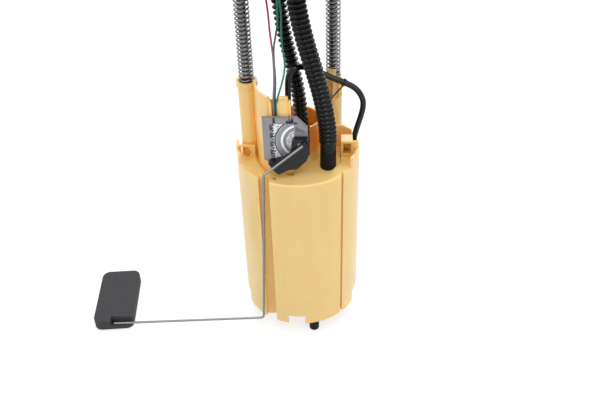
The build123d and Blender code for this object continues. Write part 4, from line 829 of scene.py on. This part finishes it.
def float_foam():
    """Charcoal foam: the distance from a cell's middle, times soft blotches, gives the share of
    the lighter tone, and the distance alone gives the relief."""
    made, tree, place = finish_start("nitrile_foam")
    cells = add(tree, "TexVoronoi", {"Vector": place, "Scale": 1 / (CELL_MM * MM)}, feature="F1")
    depth = cells.outputs["Distance"]
    cloud = blotches(tree, place, FOAM_CLOUD_MM, detail=4.0)
    speck = add(tree, "Math", {0: depth, 1: cloud}, operation="MULTIPLY").outputs[0]
    tones = {FACTOR: speck, LOW: "#28272A", HIGH: "#403E42"}
    surface = add(
        tree,
        "BsdfPrincipled",
        {
            "Base Color": add(tree, "Mix", tones, data_type="RGBA").outputs[MIXED],
            "Roughness": 0.82,
            "Normal": bumped(tree, depth, 0.06, 0.7, rounding_mm=1.2),
        },
    )
    finish_end(tree, surface)
    return made


foam = float_foam()
print("made", foam.name, "with cells of", CELL_MM, "mm")

# %% [markdown]
# ## Metals
# Spring wire is drawn through a die, so its fine lines run along the wire.  A guide rod is ground
# while it turns, so its lines run round it.  The cover is pressed zinc-plated steel, with the faint
# patches of the plating.  The pins are tin-plated brass.  Lines and patches are both soft noise,
# and what sets one metal apart from another is how far the noise is stretched.

# %% Metals
def metal(name, light, dark, rough, line_mm, stretch, along_uv=False, rounding_mm=0.0, patch_mm=6):
    """A metal between two tones: fine lines times patches gives the share of the light one.  The
    lines are stretched noise on the piece, or on its length and turn where along_uv is set."""
    made, tree, place = finish_start(name)
    if along_uv:
        place = add(tree, "TexCoord").outputs["UV"]
    lines = blotches(tree, place, line_mm, stretch, detail=2.0)
    patch = blotches(tree, place, patch_mm, seed=5.0)
    tone = add(tree, "Math", {0: lines, 1: patch}, operation="MULTIPLY").outputs[0]
    share = add(tree, "MapRange", {"Value": tone, **NOISE, "To Min": -0.4, "To Max": 1.2}).outputs[0]
    tones = {FACTOR: share, LOW: dark, HIGH: light}
    uneven = {"Value": lines, **NOISE, "To Min": rough - 0.06, "To Max": rough + 0.08}
    surface = add(
        tree,
        "BsdfPrincipled",
        {
            "Base Color": add(tree, "Mix", tones, data_type="RGBA").outputs[MIXED],
            "Metallic": 1.0,
            "Roughness": add(tree, "MapRange", uneven).outputs[0],
            "Normal": bumped(tree, lines, 0.012, 0.5, rounding_mm),
        },
    )
    finish_end(tree, surface)
    return made


drawn = metal("drawn_spring_steel", "#CBC9C9", "#807E80", 0.26, 0.25, (6, 0.03, 1), along_uv=True)
ground = metal("ground_rod_steel", "#C4C5C6", "#8C8D90", 0.24, 0.4, (0.05, 0.05, 1))
bright_wire = metal("bright_arm_steel", "#A3A3A7", "#8B8B90", 0.28, 0.4, (0.1, 0.1, 0.1))
zinc = metal("zinc_plated_steel", "#BEBEB8", "#98988F", 0.36, 3.0, (1, 1, 1), rounding_mm=0.5, patch_mm=9)
pump_steel = metal("plated_pump_steel", "#B9B9B6", "#8B8B88", 0.34, 1.0, (1, 1, 0.06), rounding_mm=0.3)
brass = metal("tinned_brass", "#D5C088", "#A88B4C", 0.3, 1.0, (1, 1, 0.1), rounding_mm=0.1)
print("made", drawn.name, ground.name, bright_wire.name, zinc.name, pump_steel.name, brass.name)

# %% [markdown]
# ## Wire covers
# PVC is soft and slightly glossy.  Two of the sender's wires go into grey shrink sleeves part of
# the way down, so their colour follows the length along the wire, which the UV holds in metres.

# %% Wire covers
WIRE_CLOUD_MM = 5
SLEEVE_EDGE_MM = 2              # length over which one colour gives way to the other


def wire_cover(name, upper, lower=None, change_mm=0.0):
    """PVC in one colour, or two that change at a length along the wire in mm, with blotches that
    are three tenths of the way to black."""
    made, tree, place = finish_start(name)
    cloud = blotches(tree, place, WIRE_CLOUD_MM)
    if lower:
        run = add(tree, "SeparateXYZ", {0: add(tree, "TexCoord").outputs["UV"]}).outputs["Y"]
        start, end = change_mm * MM, (change_mm + SLEEVE_EDGE_MM) * MM
        past = add(tree, "MapRange", {"Value": run, "From Min": start, "From Max": end}).outputs[0]
        tones = {FACTOR: past, LOW: upper, HIGH: lower}
        upper = add(tree, "Mix", tones, data_type="RGBA").outputs[MIXED]
    darker = add(tree, "Mix", {FACTOR: 0.3, LOW: upper, HIGH: "#101010"}, data_type="RGBA")
    tones = {FACTOR: cloud, LOW: darker.outputs[MIXED], HIGH: upper}
    gloss = {"Value": cloud, **NOISE, "To Min": 0.3, "To Max": 0.42}
    surface = add(
        tree,
        "BsdfPrincipled",
        {
            "Base Color": add(tree, "Mix", tones, data_type="RGBA").outputs[MIXED],
            "Roughness": add(tree, "MapRange", gloss).outputs[0],
            "IOR": 1.53,
        },
    )
    finish_end(tree, surface)
    return made


covers = {
    "wire_pink": wire_cover("pink_pvc_and_sleeve", "#B22C5A", "#7E7A85", change_mm=66),
    "wire_grey": wire_cover("teal_pvc_and_sleeve", "#0F7F6C", "#54605F", change_mm=48),
    "wire_teal": wire_cover("teal_pvc", "#0F7F6C"),
    "pump_wire_live": wire_cover("red_pvc", "#9C2A2A"),
    "pump_wire_ground": wire_cover("black_pvc", "#26272A"),
}
print("made", len(covers), "wire covers")

# %% [markdown]
# ## Sender card
# The level sender is a resistor printed on a white alumina card: grey conductor arcs round the
# pivot, which the wiper's fingers sweep.  The arcs are rings of equal distance from the pivot, so
# the material measures that distance from the Object coordinates and colours the rings by it.
# Fine dark specks are the trimming marks, and a toothed dark edge is the crimp on the left.

# %% Printed card
PIVOT_X, PIVOT_Z = 4.0, -154.0  # mm
ARCS = (                        # inner and outer radius in mm, colour
    (12.2, 15.2, "#85878E"),
    (15.2, 17.3, "#F1F2F4"),
    (17.3, 21.3, "#8D9097"),
    (21.6, 22.9, "#34353E"),
)
CARD_X, CARD_Z, CARD_W, CARD_H = -10.75, -154.15, 19.5, 35.9    # mm: middle, width and height
SPECK_MM = 0.9                  # a trimming mark, and the noise level where it starts and is full
SPECK_LEVEL = (0.6, 0.66)
CRIMP_W = 1.4                   # mm, width of the crimped edge that holds the card
TOOTH_PITCH = 3.0               # mm, of its teeth
TOOTH_LEVEL = (-0.7, -0.3)      # of the wave that draws them: broad teeth, narrow gaps


def printed_card():
    """White ceramic with printed arcs: for each ring, a mask that is 1 where the distance from the
    ring's middle radius is under half its width.  The teeth are a sine of the height, cut off."""
    made, tree, place = finish_start("printed_alumina")
    apart = add(tree, "SeparateXYZ", {0: place}).outputs
    across = add(tree, "Math", {0: apart["X"], 1: PIVOT_X * MM}, operation="SUBTRACT").outputs[0]
    above = add(tree, "Math", {0: apart["Z"], 1: PIVOT_Z * MM}, operation="SUBTRACT").outputs[0]
    flat = add(tree, "CombineXYZ", {0: across, 1: above})
    radius = add(tree, "VectorMath", {0: flat.outputs[0]}, operation="LENGTH").outputs["Value"]

    trims = blotches(tree, place, SPECK_MM, detail=0.0, seed=7.0)
    start, full = SPECK_LEVEL
    trims = add(tree, "MapRange", {"Value": trims, "From Min": start, "From Max": full}).outputs[0]
    printing = [(trims, "#55565E")]
    printed = 0.0
    for inner, outer, ink in ARCS:
        middle, half = (inner + outer) / 2 * MM, (outer - inner) / 2 * MM
        off = add(tree, "Math", {0: radius, 1: middle}, operation="SUBTRACT").outputs[0]
        off = add(tree, "Math", {0: off}, operation="ABSOLUTE").outputs[0]
        fade = {"From Min": half + SOFT_EDGE * MM, "From Max": half - SOFT_EDGE * MM}
        mask = add(tree, "MapRange", {"Value": off, **fade}).outputs[0]
        printed = add(tree, "Math", {0: mask, 1: printed}, operation="MAXIMUM").outputs[0]
        printing.append((mask, ink))

    per_tooth = 2 * math.pi / (TOOTH_PITCH * MM)
    turn = add(tree, "Math", {0: apart["Z"], 1: per_tooth}, operation="MULTIPLY").outputs[0]
    wave = add(tree, "Math", {0: turn}, operation="SINE").outputs[0]
    start, full = TOOTH_LEVEL
    teeth = add(tree, "MapRange", {"Value": wave, "From Min": start, "From Max": full}).outputs[0]
    edge = rectangle(tree, place, CARD_X - CARD_W / 2 + CRIMP_W / 2, CARD_Z, CRIMP_W, CARD_H)
    crimp = add(tree, "Math", {0: teeth, 1: edge}, operation="MULTIPLY").outputs[0]
    printing.append((crimp, "#1D1C20"))

    tones = {FACTOR: blotches(tree, place, 3), LOW: "#D8D9DC", HIGH: "#F0F0F2"}
    tone = add(tree, "Mix", tones, data_type="RGBA").outputs[MIXED]
    for mask, ink in printing:
        tone = add(tree, "Mix", {FACTOR: mask, LOW: tone, HIGH: ink}, data_type="RGBA").outputs[MIXED]
    glaze = {"Value": printed, **NOISE, "To Min": 0.4, "To Max": 0.28}
    surface = add(
        tree,
        "BsdfPrincipled",
        {
            "Base Color": tone,
            "Roughness": add(tree, "MapRange", glaze).outputs[0],
            "Normal": bumped(tree, printed, 0.03, 0.8),
        },
    )
    finish_end(tree, surface)
    return made


card = printed_card()
print("made", card.name, "with", len(ARCS), "arcs out to", ARCS[-1][1], "mm")

# %% [markdown]
# ## Woven strainer
# The strainers are woven nylon gauze.  Its threads stand 0.06 mm apart, too fine to see here, so
# the weave is drawn at 0.9 mm: two sets of waves, one along X and one along Y.

# %% Gauze
WEAVE_MM = 0.9


def gauze():
    """Woven nylon: sin(x) * sin(y) of the thread spacing gives the light and dark of the weave."""
    made, tree, place = finish_start("nylon_gauze")
    apart = add(tree, "SeparateXYZ", {0: place}).outputs
    per_thread = 2 * math.pi / (WEAVE_MM * MM)
    waves = []
    for side in "XY":
        turn = add(tree, "Math", {0: apart[side], 1: per_thread}, operation="MULTIPLY").outputs[0]
        waves.append(add(tree, "Math", {0: turn}, operation="SINE").outputs[0])
    weave = add(tree, "Math", {0: waves[0], 1: waves[1]}, operation="MULTIPLY").outputs[0]
    height = add(tree, "MapRange", {"Value": weave, "From Min": -1.0, "From Max": 1.0}).outputs[0]
    tones = {FACTOR: height, LOW: "#B9B8AE", HIGH: "#E6E5DC"}
    surface = add(
        tree,
        "BsdfPrincipled",
        {
            "Base Color": add(tree, "Mix", tones, data_type="RGBA").outputs[MIXED],
            "Roughness": 0.6,
            "Normal": bumped(tree, height, 0.15, 0.6),
        },
    )
    finish_end(tree, surface)
    return made


strainer = gauze()
print("made", strainer.name, "drawn at", WEAVE_MM, "mm")

# %% [markdown]
# ## Who wears what
# Every piece takes the finish of its real material.  A CAD piece keeps its mesh, so only its
# material slots change.

# %% Finishes of the CAD pieces
WEARS = {
    tan: ("reservoir_shell", "reservoir_floor"),
    tan_painted_glow: ("pump_retainer",),
    moulded_nylon: ("connector_shell", "pump_cap", "pump_inlet_plate", "jet_pump", "tube_tie",
                    "sender_rotor", "pump_impeller"),
    rubber: ("rubber_feet", "floor_valve", "pump_seat", "return_cuff"),
    ferrite: ("pump_magnets", "pump_brushes"),
    grey_bracket: ("sender_bracket",),
    green_rubber: ("cover_seal",),
    foam: ("float_slab",),
    ground: ("guide_rod_left", "guide_rod_right"),
    bright_wire: ("arm_wire", "rod_clips"),
    zinc: ("cover_plate", "supply_port", "return_port", "vapour_port"),
    pump_steel: ("pump_case", "pump_armature"),
    brass: ("connector_pins", "pump_terminals", "wiper_contact"),
    card: ("sender_card",),
    strainer: ("floor_strainer", "pump_strainer"),
}
for finish, pieces in WEARS.items():
    for piece in pieces:
        for slot in nodes[piece].material_slots:
            slot.material = finish
print("dressed", sum(len(pieces) for pieces in WEARS.values()), "CAD pieces")

# %% [markdown]
# ## The new pieces
# The hoses, the jet tube, the springs and the wires were made here and have no slots yet, so each
# gets its material added to its mesh.

# %% Finishes of the new pieces
worn = [(supply_hose, hose_nylon), (return_hose, hose_nylon), (jet_tube, tube_nylon)]
worn += [(coil, drawn) for coil in springs.values()]
worn += [(wires[name], cover) for name, cover in covers.items()]
for piece, finish in worn:
    piece.data.materials.append(finish)
print("dressed", len(worn), "new pieces")
